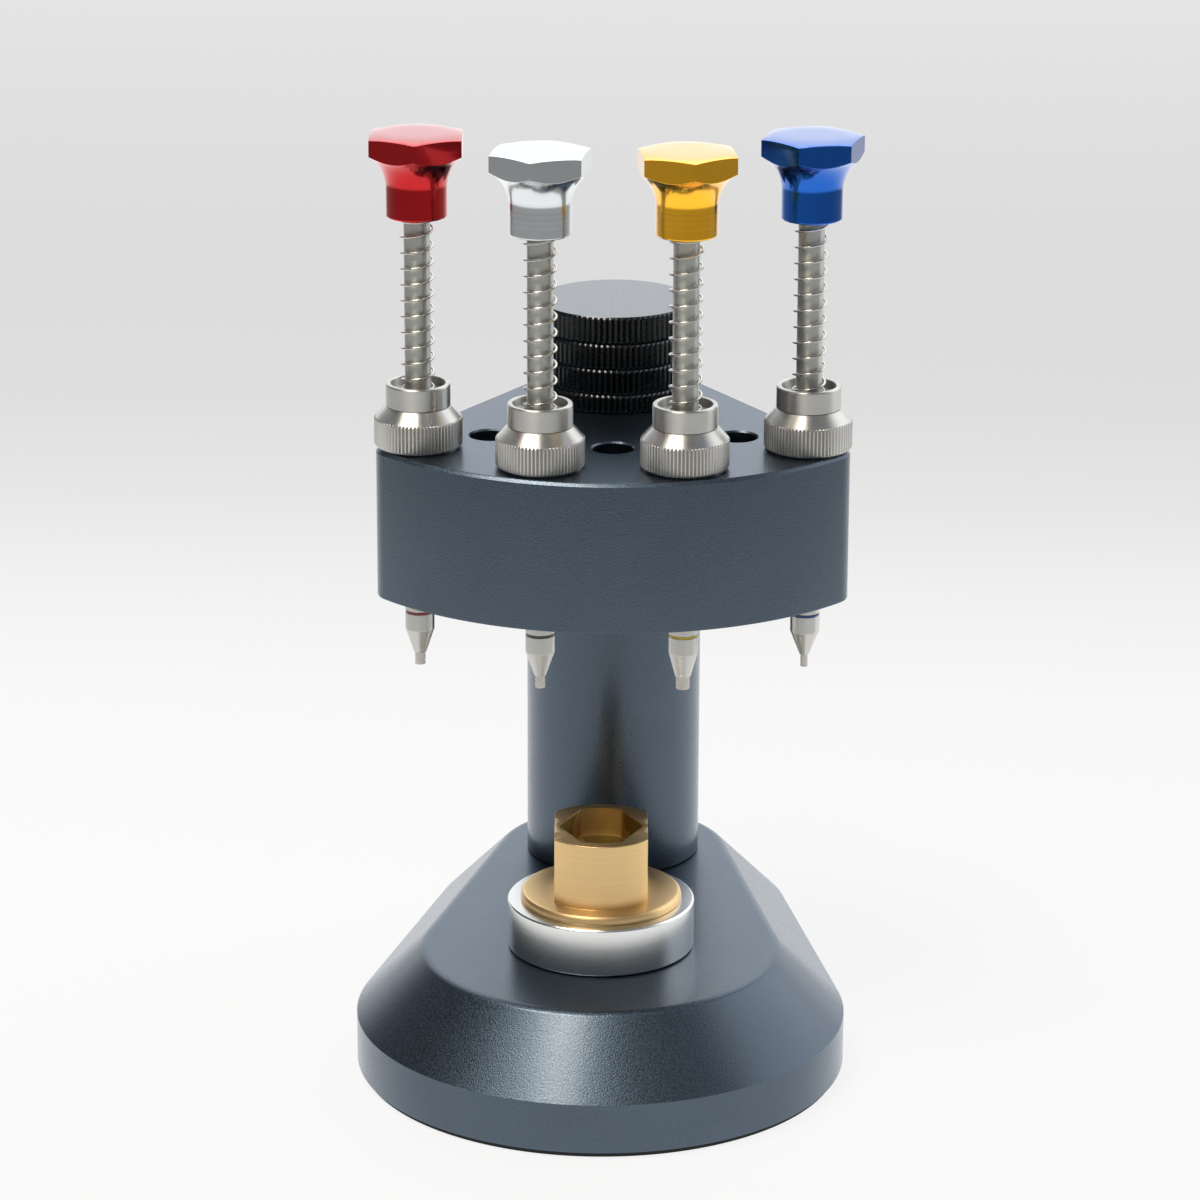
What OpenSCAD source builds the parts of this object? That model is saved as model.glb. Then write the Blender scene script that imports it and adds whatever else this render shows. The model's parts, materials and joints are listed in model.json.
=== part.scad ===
/*
Watch hand fitting tool.

A heavy base carries a round column. A fan-shaped head turns on the top of the column and holds four
spring-loaded plungers, each with its own coloured knob and its own size of hollow tip. Turning the head
brings one tip at a time over the turning anvil, where the movement stands in a brass support.

Millimetres, +Z up. The origin is on the column's axis, at the underside of the base pad, and the anvil
lies towards -Y.
*/

/* [Base] */
// Height of the base, from the bench to its flat top
base_h = 19.3; // [15:0.1:26]
// Radius of the base's round front end, at the foot
base_front_r = 38.1; // [34:0.1:46]
// Radius of the base's round back end, at the foot
base_back_r = 28.6; // [26.5:0.1:33]
// Distance from the column to the centre of the base's round front
base_round_y = 42.8; // [38:0.1:50]
// Height of the base's upright wall, from the bench
base_wall_h = 8.7; // [6:0.1:9.5]
// How far the sloping side runs inwards
base_slope_run = 10.6; // [6:0.1:12]
// Thickness of the rubber pad under the base
pad_t = 0.8; // [0.5:0.1:2]
// How far the pad stays back from the base's edge
pad_inset = 0.7; // [0.4:0.1:2]

/* [Column] */
// Radius of the column
column_r = 14; // [12.5:0.1:15]
// Radius of the neck that the head turns on
neck_r = 8; // [7:0.1:9]
// Radius of the stud above the neck
stud_r = 4; // [3:0.1:5]
// Radius of the spigot that centres the column in the base
column_spigot_r = 10; // [8:0.1:11]
// Length of that spigot
column_spigot_l = 5; // [3:0.1:6]
// Radius of the column screw's shank
column_screw_r = 4; // [3:0.1:5]
// Length of the column screw's shank
column_screw_l = 20; // [16:0.5:30]

/* [Head] */
// Height of the head's underside above the bench
head_z = 72.6; // [65:0.1:85]
// Height of the head block
head_h = 23.7; // [21:0.1:28]
// Radius of the head's curved front
head_front_r = 46.7; // [45.5:0.1:50]
// How far the centre of that curve lies in front of the column
head_front_y = 3.5; // [2.5:0.1:5]
// Radius of the head's round back, about the column
head_back_r = 15.6; // [15.4:0.1:17]
// Angle between the head's middle and each straight side
head_side_angle = 31.3; // [31:0.1:36]
// Radius of the head's two front corners
head_corner_r = 4.6; // [3:0.1:6]
// How far the head stands turned from the middle of the base
head_turn = 2; // [-15:0.1:15]

/* [Plungers] */
// Distance from the column to each plunger, and to the anvil
reach = 42.3; // [41:0.1:43]
// Angle from one plunger to the next
plunger_step = 30; // [28:0.5:32]
// Radius of the plunger shaft
shaft_r = 2; // [1.8:0.05:2.2]
// Height of the plunger tips above the bench
tip_z = 60.9; // [56:0.1:66]
// Length of the nose that stands out of each tip
nose_l = 2; // [1.5:0.1:3]
// Nose radius of each tip, in the order red, silver, gold, blue
nose_rs = [0.82, 0.75, 1.05, 0.58];
// Radius of the tip holders
holder_r = 2.28; // [2.2:0.01:2.6]
// Height of the holder's cone
holder_cone_h = 3.9; // [3:0.1:5]
// Height from the foot of the cone to the colour band
band_up = 2.5; // [1.5:0.1:3]
// Height of the colour band
band_h = 0.75; // [0.5:0.05:1.2]
// Depth of the groove that the colour band lies in
band_depth = 0.4; // [0.3:0.05:0.5]

/* [Knobs] */
// Width of the knob across its flats
knob_af = 14; // [12:0.1:15]
// Height of the knob's six-sided rim
knob_rim_h = 2.85; // [2.4:0.05:4]
// Height of the knob's flare under the rim
knob_flare_h = 5.25; // [4.5:0.05:5.4]
// Radius of the flare's curve
knob_flare_r = 5.8; // [5.6:0.1:8]
// Height of the knob's round neck
knob_neck_h = 4.8; // [4:0.1:7]
// Radius of the knob's round neck
knob_neck_r = 4.7; // [4.2:0.1:5.2]
// How much lower the rim's corners are than its middle
knob_crown = 0.5; // [0.1:0.05:0.8]
// Radius at which the knob's flat top begins to slope
knob_crown_r = 6.3; // [5:0.1:6.9]
// How far each knob stands turned, in the order red, silver, gold, blue
knob_turns = [-27.4, 22.1, -20.4, 15.3];

/* [Springs] */
// Length of the spring as fitted
spring_l = 27.4; // [24:0.1:32]
// Radius of the spring wire
wire_r = 0.2; // [0.15:0.01:0.24]
// Radius of the spring, at the middle of its wire
coil_r = 2.45; // [2.4:0.01:2.9]
// Number of turns of the spring
coil_turns = 11; // [8:1:13]

/* [Adjusting nuts and sleeves] */
// Radius of the adjusting nut's knurl
nut_r = 6.8; // [6.4:0.05:7.4]
// Height of the nut's knurled part
nut_knurl_h = 4.5; // [4:0.1:6]
// Number of ridges of the nut's knurl
nut_ridges = 72; // [48:4:80]
// Depth of the nut's knurl
nut_knurl_d = 0.22; // [0.1:0.02:0.3]
// Radius of the sleeve's cap above the nut
cap_r = 4.98; // [4.8:0.02:5.4]
// Height of the sleeve's cap
cap_h = 3.5; // [2.5:0.1:5]
// Radius of the spring's seat in the cap
seat_r = 4.2; // [3.6:0.05:4.4]
// Depth of that seat
seat_d = 1.3; // [1:0.1:2]
// Radius of the sleeve below its cap
sleeve_r = 4; // [3.6:0.05:4.2]
// Radius of the bush that the sleeve slides in
bush_r = 5; // [4.8:0.05:5.2]
// Thickness of the bush's flange under the nut
bush_flange_t = 0.2; // [0.15:0.05:0.4]

/* [Ring stack] */
// Radius of the knurled rings on the stud
ring_r = 12.35; // [11:0.05:13.5]
// Heights of the rings, from the head upwards, with the clamp knob last
ring_hs = [3, 4.05, 4.05, 4.4];
// Number of ridges round each ring
ring_ridges = 84; // [60:4:96]
// Depth of the rings' knurl
ring_knurl_d = 0.3; // [0.15:0.05:0.4]

/* [Storage holes] */
// Radius of the three blind holes in the head's top
store_r = 3.2; // [2.8:0.05:3.5]
// Depths of those holes, from the user's left to right
store_ds = [11, 12, 13];
// Distance from the column to those holes
store_reach = 30.6; // [29:0.1:31.5]
// Angle from the middle hole to each outer one
store_step = 38.5; // [36:0.5:40]

/* [Anvil] */
// Radius of the steel anvil disc
disc_r = 14.5; // [13.5:0.1:16]
// Height of the anvil disc
disc_h = 7.6; // [7:0.1:9]
// Radius of the pivot that the disc turns on
pivot_r = 3; // [2.5:0.1:3.5]

/* [Movement support] */
// Radius of the support's flange
flange_r = 12.5; // [11:0.1:13.2]
// Thickness of that flange
flange_t = 1.35; // [1:0.05:2]
// Radius of the support's boss
boss_r = 9.5; // [9:0.1:10]
// Distance from the middle of the boss to each of its two flats
boss_flat = 7.2; // [7:0.1:8]
// Height of the boss above its flange
boss_h = 10.4; // [8:0.1:12]
// Radius of the pocket in the boss
pocket_r = 7.9; // [7.7:0.05:8.2]
// Distance from the middle of the pocket to each slanting face
pocket_face = 5.65; // [5.2:0.05:5.9]
// Depth of the pocket
pocket_d = 4.4; // [3:0.1:6]
// Width of the fine slot through the boss's rim
slot_w = 0.45; // [0.3:0.05:0.8]
// Radius of the support's spigot in the disc
spigot_r = 4.47; // [4:0.01:5]
// Length of that spigot
spigot_l = 4.3; // [3:0.1:4.4]
// How far the support stands turned on the anvil
support_turn = 2.6; // [-20:0.1:20]

/* [Hidden] */
COLOURS = ["red", "silver", "gold", "blue"];
$fn = 96;

// Clearances: pressed pieces, running pieces, the play between turning faces, and loose holes
press = 0.01;
run = 0.03;
play = 0.05;
loose = 0.2;
// How far a cut runs past the face that it opens
past = 1;

// Base and column
base_front = [0, -base_round_y];
base_lean = asin((base_front_r - base_back_r) / base_round_y);
side_in = 0.02;
slope_h = base_h - base_wall_h;
screw_head_r = column_screw_r * 1.75;
screw_head_h = column_screw_r * 1.1;
screw_key_r = column_screw_r * 0.87;
screw_key_d = screw_head_h * 0.6;
screw_web = 5;
screw_seat_z = base_h - column_spigot_l - screw_web;
head_lift = 0.15;
column_top_z = head_z - head_lift;
head_top_z = head_z + head_h;
washer_t = 1;
washer_rim = 2.6;
washer_r = column_r - washer_rim;
washer_seat_d = washer_t - head_lift + play;

// Head bearing and detent
bearing_wall = 2;
bearing_r = neck_r + bearing_wall;
bearing_l = 15;
ball_r = 1.5;
ball_up = 2.9;
ball_z = head_z + washer_seat_d + ball_up;
groove_d = 0.6;
dimple_d = 0.5;
ball_reach = neck_r + ball_r - groove_d + play;
detent_bore_r = ball_r + 0.1;
detent_spring_l = 2.2;
detent_screw_l = 2.4;
detent_spring_in_r = ball_r - 0.7;
detent_spring_at = ball_reach + sqrt(pow(ball_r, 2) - pow(detent_spring_in_r, 2)) + run;
detent_key_r = 0.85;
detent_key_d = 1.2;

// Ring stack
ring_gap = 0.05;
ring_z = [for (i = [0 : 3]) head_top_z + ring_gap * (i + 1) + sum(ring_hs, i)];
ring_stagger = 1.7;
ring_chamfer = 0.4;
notch_share = 0.62;
knob_roof = 1.2;
stud_top_z = ring_z[3] + ring_hs[3] - knob_roof - loose;

// One plunger and its sleeve
nut_z = head_top_z + bush_flange_t + play;
nut_cone_h = nut_r - cap_r;
cap_z = nut_z + nut_knurl_h + nut_cone_h;
cap_top_z = cap_z + cap_h;
seat_z = cap_top_z - seat_d;
spigot_up = 1.9;
spigot_wall = 1.15;
bush_bore_r = sleeve_r + run;
bush_spigot_r = bush_bore_r + spigot_wall;
snap_z = nut_z + 0.8;
snap_t = 0.5;
snap_bite = 0.35;
bush_end_z = head_z + 0.5;
bush_flange_r = nut_r - 0.4;
key_l = 13;
sleeve_flat = sleeve_r - 0.55;
sleeve_end_z = head_z + 1.5;
holder_top_z = sleeve_end_z - play;
cone_z = tip_z + nose_l;
holder_z = cone_z + holder_cone_h;
band_z = holder_z + band_up;
tang_r = 1.25;
tang_l = holder_top_z - band_z - band_h - loose;
knob_z = seat_z + spring_l;
knob_h = knob_neck_h + knob_flare_h + knob_rim_h;
shaft_past_neck = 3.2;
shaft_in_knob = knob_neck_h + shaft_past_neck;
nose_stem_l = 2.6;
nose_wall = 0.15;
nose_hollow = 0.5;
curl_rings = 8;
cap_chamfer = 0.3;
nut_chamfer = 0.25;

// Anvil
disc_z = base_h + 0.1;
disc_top_z = disc_z + disc_h;
anvil_washer_t = 0.5;
anvil_washer_rim = 5.5;
anvil_washer_r = disc_r - anvil_washer_rim;
pivot_shoulder = 1.95;
anvil_screw_head_r = spigot_r - 0.5;
anvil_screw_head_h = 0.95;
anvil_screw_r = 1.5;
anvil_screw_l = 5;
pivot_base_r = pivot_r + 1;
pivot_base_l = 8;
pivot_top_z = disc_z + pivot_shoulder;
disc_ledge_z = pivot_top_z - 2 * play;
screw_slot = 0.8;
foot_chamfer = 0.3;
rim_chamfer = 0.5;
flange_z = disc_top_z + press;
boss_z = flange_z + flange_t;
support_top_z = boss_z + boss_h;

// Sum of the first n numbers of a list
function sum(list, n) = n == 0 ? 0 : list[n - 1] + sum(list, n - 1);
// Corners of the base's straight sides, drawn in by inset, and a hair inside its round ends' tangents
function base_touch(inset) =
    let (
        f = (base_front_r - inset - side_in) * [cos(base_lean), sin(base_lean)],
        b = (base_back_r - inset - side_in) * [cos(base_lean), sin(base_lean)]
    ) [base_front + f, b, [-b.x, b.y], base_front + [-f.x, f.y]];
// Angle of plunger i about the column, from the middle of the base
function plunger_angle(i) = head_turn + (i - 1.5) * plunger_step;

// Puts its children on the axis of plunger i
module at_plunger(i) rotate([0, 0, plunger_angle(i)]) translate([0, -reach, 0]) children();

// Puts its children on the anvil's axis
module at_anvil() translate([0, -reach, 0]) children();

// A round bar of radius r from height z0 to height z1
module bar(r, z0, z1) translate([0, 0, z0]) cylinder(r = r, h = z1 - z0);

// A ring from height z0 to height z1
module ring(r_out, r_in, z0, z1) difference() {
    bar(r_out, z0, z1);
    bar(r_in, z0 - past, z1 + past);
}

// A sweep of a wire along points, each ring of sides set square to the way that the wire runs
function unit(v) = v / norm(v);
function way(p, i) = unit(p[min(i + 1, len(p) - 1)] - p[max(i - 1, 0)]);
function wire_points(p, r, sides) = [
    for (i = [0 : len(p) - 1])
        let (
            t = (i == 0 || i == len(p) - 1) ? [0, 0, 1] : way(p, i),
            out = unit([p[i].x, p[i].y, 0]),
            u = unit(out - t * (out * t)),
            v = cross(t, u)
        )
            for (k = [0 : sides - 1])
                let (a = 360 * k / sides) p[i] + r * (cos(a) * u + sin(a) * v)
];

module wire(p, r, sides) {
    n = len(p);
    polyhedron(
        points = wire_points(p, r, sides),
        faces = concat(
            [[for (k = [0 : sides - 1]) sides - 1 - k]],
            [[for (k = [0 : sides - 1]) (n - 1) * sides + k]],
            [for (i = [0 : n - 2], k = [0 : sides - 1])
                let (a = i * sides + k, b = i * sides + (k + 1) % sides) [a, b, b + sides]],
            [for (i = [0 : n - 2], k = [0 : sides - 1])
                let (a = i * sides + k, b = i * sides + (k + 1) % sides) [a, b + sides, a + sides]]
        )
    );
}

// Outline of the base at one level: two round ends joined by straight sides
module base_plan(inset) {
    translate(base_front) circle(r = base_front_r - inset);
    circle(r = base_back_r - inset);
    polygon(base_touch(inset));
}

// The flat-sided wedge between the two cones of the base's sloping side
module slope_wedge() polyhedron(
    points = concat(
        [for (p = base_touch(0)) [p.x, p.y, base_wall_h]],
        [for (p = base_touch(base_slope_run)) [p.x, p.y, base_h]]
    ),
    faces = [[0, 1, 2, 3], [7, 6, 5, 4], [0, 4, 5, 1], [1, 5, 6, 2], [2, 6, 7, 3], [3, 7, 4, 0]]
);

module base_block() color("#46525e") difference() {
    union() {
        translate([0, 0, pad_t]) linear_extrude(base_wall_h - pad_t) base_plan(0);
        slope_wedge();
        translate([0, 0, base_wall_h]) {
            translate(base_front) cylinder(r1 = base_front_r, r2 = base_front_r - base_slope_run, h = slope_h);
            cylinder(r1 = base_back_r, r2 = base_back_r - base_slope_run, h = slope_h);
        }
    }
    bar(column_spigot_r + press, base_h - column_spigot_l - play, base_h + past);
    bar(column_screw_r + loose, 0, base_h);
    bar(screw_head_r + loose, 0, screw_seat_z);
    at_anvil() {
        bar(pivot_base_r + press, base_h - pivot_base_l - play, base_h + past);
        bar(anvil_washer_r + loose, disc_z - anvil_washer_t - play, base_h + past);
    }
}

module base_pad() color("#17181a") linear_extrude(pad_t) base_plan(pad_inset);

module column() color("#46525e") difference() {
    union() {
        bar(column_spigot_r, base_h - column_spigot_l, base_h);
        bar(column_r, base_h, column_top_z);
        bar(neck_r, column_top_z, head_top_z - play);
        bar(stud_r, head_top_z - play, stud_top_z);
    }
    bar(column_screw_r + press, 0, screw_seat_z + column_screw_l + past);
    translate([0, 0, ball_z]) rotate_extrude() translate([ball_reach - play, 0]) circle(r = ball_r, $fn = 32);
    for (a = [0 : plunger_step : 359])
        rotate([0, 0, a + head_turn]) translate([0, ball_reach - play - dimple_d, ball_z]) sphere(r = ball_r, $fn = 32);
}

module column_screw() color("#9a9da0") difference() {
    union() {
        bar(column_screw_r, screw_seat_z, screw_seat_z + column_screw_l);
        bar(screw_head_r, screw_seat_z - screw_head_h, screw_seat_z);
    }
    translate([0, 0, screw_seat_z - screw_head_h - past])
        cylinder(r = screw_key_r, h = past + screw_key_d, $fn = 6);
}

module pivot_stud() color("#b9bcc0") at_anvil() difference() {
    union() {
        bar(pivot_base_r, base_h - pivot_base_l, disc_z - anvil_washer_t);
        bar(pivot_r, disc_z - anvil_washer_t, pivot_top_z);
    }
    bar(anvil_screw_r + press, pivot_top_z - anvil_screw_l - past, pivot_top_z + past);
}

module thrust_washer() color("#8d8f92") at_anvil()
    ring(anvil_washer_r, pivot_r + run, disc_z - anvil_washer_t, disc_z - play);

// A disc with a small chamfer at its foot and a larger one at its top
module rimmed(r, z0, z1) rotate_extrude() polygon([
    [0, z0], [r - foot_chamfer, z0], [r, z0 + foot_chamfer], [r, z1 - rim_chamfer], [r - rim_chamfer, z1], [0, z1]
]);

module anvil_disc() color("#c3c6c9") at_anvil() difference() {
    rimmed(disc_r, disc_z, disc_top_z);
    bar(pivot_r + run, disc_z - past, disc_top_z);
    bar(spigot_r + run, disc_ledge_z, disc_top_z + past);
}

module anvil_screw() color("#9a9da0") at_anvil() difference() {
    union() {
        bar(anvil_screw_r, pivot_top_z - anvil_screw_l, pivot_top_z);
        bar(anvil_screw_head_r, pivot_top_z, pivot_top_z + anvil_screw_head_h);
    }
    translate([-anvil_screw_head_r, -screw_slot / 2, pivot_top_z + anvil_screw_head_h / 2])
        cube([2 * anvil_screw_head_r, screw_slot, past]);
}

// Plan of the pocket: a circle cut by four faces that slant 30 degrees from the support's sides
module pocket_plan() intersection() {
    circle(r = pocket_r);
    polygon([
        [pocket_face / cos(30), 0], [0, pocket_face / sin(30)],
        [-pocket_face / cos(30), 0], [0, -pocket_face / sin(30)]
    ]);
}

module movement_support() color("#cf9f55") at_anvil() rotate([0, 0, support_turn]) difference() {
    union() {
        bar(spigot_r, flange_z - spigot_l, flange_z);
        rimmed(flange_r, flange_z, boss_z);
        intersection() {
            bar(boss_r, boss_z, support_top_z);
            translate([-boss_flat, -boss_r, boss_z]) cube([2 * boss_flat, 2 * boss_r, boss_h]);
        }
    }
    translate([0, 0, support_top_z - pocket_d]) {
        linear_extrude(pocket_d + past) pocket_plan();
        translate([0, -slot_w / 2, 0]) cube([boss_r, slot_w, pocket_d + past]);
    }
}

// The head's plan is a fan: a round back, two straight sides and a front arc, with round front
// corners. The fillet circle touches the side and the arc from inside.
head_side = [cos(head_side_angle), sin(head_side_angle)];
head_run = [sin(head_side_angle), -cos(head_side_angle)];
corner_out = head_back_r - head_corner_r;
front_c = [0, -head_front_y];
front_across = corner_out + head_front_y * sin(head_side_angle);
corner_along = head_front_y * cos(head_side_angle)
    + sqrt(pow(head_front_r - head_corner_r, 2) - pow(front_across, 2));
corner_c = corner_out * head_side + corner_along * head_run;
side_touch = corner_c + head_corner_r * head_side;
arc_way = unit(corner_c - front_c);
arc_touch = front_c + arc_way * head_front_r;
arc_past = front_c + arc_way * head_front_r * 1.2;
front_past = [0, -head_front_y - head_front_r * 1.2];

module head_plan() intersection() {
    translate(front_c) circle(r = head_front_r);
    union() {
        circle(r = head_back_r);
        for (m = [0, 1]) mirror([m, 0]) {
            translate(corner_c) circle(r = head_corner_r, $fn = 48);
            polygon([[0, 0], head_back_r * head_side, side_touch, arc_touch, arc_past, front_past]);
        }
    }
}

module head_block() color("#46525e") rotate([0, 0, head_turn]) difference() {
    translate([0, 0, head_z]) linear_extrude(head_h) head_plan();
    bar(neck_r + loose, head_z - past, head_top_z + past);
    bar(bearing_r + press, head_top_z - bearing_l - play, head_top_z + past);
    bar(washer_r + loose, head_z - past, head_z + washer_seat_d);
    for (i = [0 : 3]) rotate([0, 0, (i - 1.5) * plunger_step]) translate([0, -reach, 0])
        bar(bush_r + press, head_z - past, head_top_z + past);
    for (i = [-1 : 1]) rotate([0, 0, i * store_step]) translate([0, -store_reach, 0])
        bar(store_r, head_top_z - store_ds[i + 1], head_top_z + past);
    translate([0, 0, ball_z]) rotate([-90, 0, 0]) cylinder(r = detent_bore_r, h = head_back_r + past);
}

module head_bush() color("#b98a4a") ring(bearing_r, neck_r + run, head_top_z - bearing_l, head_top_z - play);

module head_washer() color("#2a2b2d")
    ring(washer_r, neck_r + loose, column_top_z, column_top_z + washer_t);

// A bush is pressed into the head for each sleeve. Its flange carries the nut, its spigot holds the
// snap ring that keeps the nut down, and a key inside it stops the sleeve from turning.
module guide_bush() difference() {
    union() {
        bar(bush_r, bush_end_z, head_top_z);
        bar(bush_flange_r, head_top_z, head_top_z + bush_flange_t);
        bar(bush_spigot_r, head_top_z, nut_z + spigot_up);
    }
    difference() {
        bar(bush_bore_r, bush_end_z - past, nut_z + spigot_up + past);
        translate([sleeve_flat + run, -sleeve_r, bush_end_z]) cube([sleeve_r, 2 * sleeve_r, key_l]);
    }
    ring(bush_spigot_r + past, bush_spigot_r - snap_bite, snap_z - press, snap_z + snap_t + press);
}

module guide_bushes() color("#202226") for (i = [0 : 3]) at_plunger(i) guide_bush();

module nut_snap_rings() color("#8a8c8e") for (i = [0 : 3]) at_plunger(i)
    ring(bush_spigot_r + snap_bite, bush_spigot_r - snap_bite + press, snap_z, snap_z + snap_t);

module detent_ball() color("#c9ccd0") rotate([0, 0, head_turn]) translate([0, ball_reach, ball_z])
    sphere(r = ball_r, $fn = 48);

module detent_spring() color("#a8abb0") rotate([0, 0, head_turn])
    translate([0, detent_spring_at, ball_z]) rotate([-90, 0, 0]) difference() {
        cylinder(r = detent_bore_r - loose, h = detent_spring_l);
        translate([0, 0, -past]) cylinder(r = detent_spring_in_r, h = detent_spring_l + 2 * past);
    }

module detent_screw() color("#9a9da0") rotate([0, 0, head_turn])
    translate([0, detent_spring_at + detent_spring_l, ball_z]) rotate([-90, 0, 0]) difference() {
        cylinder(r = detent_bore_r - press, h = detent_screw_l);
        translate([0, 0, detent_screw_l - detent_key_d]) cylinder(r = detent_key_r, h = detent_key_d + past, $fn = 6);
    }

// A bar with straight ridges: a chamfered bar with a notch cut between each two ridges
module knurled(r, h, ridges, depth, chamfer) difference() {
    rotate_extrude() polygon([
        [0, 0], [r - chamfer, 0], [r, chamfer], [r, h - chamfer], [r - chamfer, h], [0, h]
    ]);
    half = 180 / ridges * notch_share;
    mouth = (r + loose) * [cos(half), sin(half)];
    translate([0, 0, -past]) linear_extrude(h + 2 * past) for (k = [0 : ridges - 1])
        rotate(k * 360 / ridges) polygon([[r - depth, 0], mouth, [mouth.x, -mouth.y]]);
}

module stack_ring(i) translate([0, 0, ring_z[i]]) rotate([0, 0, i * ring_stagger]) difference() {
    knurled(ring_r, ring_hs[i], ring_ridges, ring_knurl_d, ring_chamfer);
    bar(stud_r + run, -past, i < 3 ? ring_hs[i] + past : ring_hs[i] - knob_roof);
}

module lower_ring() color("#1b1d21") stack_ring(0);
module middle_ring() color("#1b1d21") stack_ring(1);
module upper_ring() color("#1b1d21") stack_ring(2);
module clamp_knob() color("#22252a") stack_ring(3);

// A knob: a round neck flares out into a six-sided rim with a low crown
module knob(i) at_plunger(i) translate([0, 0, knob_z]) {
    corner_r = knob_af / 2 / cos(30);
    flare_z = knob_neck_h + knob_flare_h;
    difference() {
        intersection() {
            rotate_extrude() difference() {
                polygon([
                    [0, 0], [knob_neck_r - foot_chamfer, 0], [knob_neck_r, foot_chamfer],
                    [knob_neck_r, knob_neck_h], [knob_neck_r + knob_flare_r, knob_neck_h],
                    [corner_r + past, flare_z], [corner_r + past, knob_h - knob_crown],
                    [knob_crown_r, knob_h], [0, knob_h]
                ]);
                translate([knob_neck_r + knob_flare_r, knob_neck_h]) circle(r = knob_flare_r);
            }
            rotate([0, 0, knob_turns[i] - plunger_angle(i)])
                translate([0, 0, -past]) cylinder(r = corner_r, h = knob_h + 2 * past, $fn = 6);
        }
        bar(shaft_r + press, -past, shaft_in_knob + play);
    }
}

module shaft(i) at_plunger(i) {
    bar(shaft_r, holder_top_z, knob_z + shaft_in_knob);
    bar(tang_r, holder_top_z - tang_l, holder_top_z + past);
}

module tip_holder(i) at_plunger(i) difference() {
    rotate_extrude() polygon([
        [0, cone_z], [nose_rs[i] + nose_wall, cone_z], [holder_r, holder_z], [holder_r, band_z],
        [holder_r - band_depth, band_z], [holder_r - band_depth, band_z + band_h],
        [holder_r, band_z + band_h], [holder_r, holder_top_z - nose_wall], [holder_r - nose_wall, holder_top_z],
        [0, holder_top_z]
    ]);
    bar(tang_r + press, holder_top_z - tang_l - play, holder_top_z + past);
    bar(nose_rs[i] + press, cone_z - past, cone_z + nose_stem_l + play);
}

module band(i) at_plunger(i)
    ring(holder_r - press, holder_r - band_depth + press, band_z + press, band_z + band_h - press);

// The nose is hollow, so that it presses on the hand and clears the pinion that the hand goes on
module nose(i) at_plunger(i) ring(nose_rs[i], nose_rs[i] * nose_hollow, tip_z, cone_z + nose_stem_l);

// A spring from the seat in the sleeve's cap to the knob, with a short straight length at each end
function coil_points() = [
    [coil_r, 0, 0],
    each [for (k = [0 : coil_turns * curl_rings])
        let (a = 360 * k / curl_rings, z = (spring_l - 4 * wire_r) * k / (coil_turns * curl_rings))
            [coil_r * cos(a), coil_r * sin(a), 2 * wire_r + z]],
    [coil_r, 0, spring_l]
];

// Least gap between the wire and itself, measured on the coil's points that are half a turn or more apart
function coil_gap(p) = min([for (i = [0 : len(p) - 1], j = [i + curl_rings / 2 : 1 : len(p) - 1])
    norm(p[i] - p[j])]) - 2 * wire_r;
echo(least_spring_gap = coil_gap(coil_points()));

module spring(i) at_plunger(i) translate([0, 0, seat_z]) wire(coil_points(), wire_r, 6);

module sleeve(i) at_plunger(i) difference() {
    union() {
        rotate_extrude() polygon([
            [0, cap_z], [cap_r, cap_z], [cap_r, cap_top_z - cap_chamfer], [cap_r - cap_chamfer, cap_top_z],
            [0, cap_top_z]
        ]);
        bar(sleeve_r, sleeve_end_z, cap_z);
    }
    bar(shaft_r + run, sleeve_end_z - past, cap_top_z);
    bar(seat_r, seat_z, cap_top_z + past);
    translate([sleeve_flat, -sleeve_r, sleeve_end_z - past])
        cube([sleeve_r, 2 * sleeve_r, head_top_z - sleeve_end_z]);
}

module nut(i) at_plunger(i) difference() {
    union() {
        translate([0, 0, nut_z]) knurled(nut_r, nut_knurl_h, nut_ridges, nut_knurl_d, nut_chamfer);
        translate([0, 0, nut_z + nut_knurl_h])
            cylinder(r1 = nut_r - nut_chamfer, r2 = cap_r + play, h = nut_cone_h - play);
    }
    bar(sleeve_r + run, nut_z - past, cap_z + past);
    bar(bush_spigot_r + play, nut_z - past, nut_z + spigot_up + play);
    bar(bush_spigot_r + snap_bite + play, snap_z - play, snap_z + snap_t + play);
}

base_block();
base_pad();
column();
column_screw();
pivot_stud();
thrust_washer();
anvil_disc();
anvil_screw();
movement_support();
head_block();
head_bush();
head_washer();
guide_bushes();
nut_snap_rings();
detent_ball();
detent_spring();
detent_screw();
lower_ring();
middle_ring();
upper_ring();
clamp_knob();

knob_colours = ["#b3121d", "#c9cccf", "#e0a11c", "#1646b4"];
band_colours = ["#a3161c", "#3a3c3e", "#d8b21a", "#1c3f9c"];
for (i = [0 : 3]) {
    color(knob_colours[i]) knob(i);
    color("#b4b6b8") shaft(i);
    color("#bfc1c2") tip_holder(i);
    color(band_colours[i]) band(i);
    color("#c8c6c0") nose(i);
    color("#c6c8ca") spring(i);
    color("#c0c1c1") sleeve(i);
    color("#b9bab9") nut(i);
}
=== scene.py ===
import json
from math import acos, atan2, cos, hypot, pi, radians, sin, sqrt, tau

import bmesh
import bpy
from mathutils import Matrix, Vector


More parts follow.
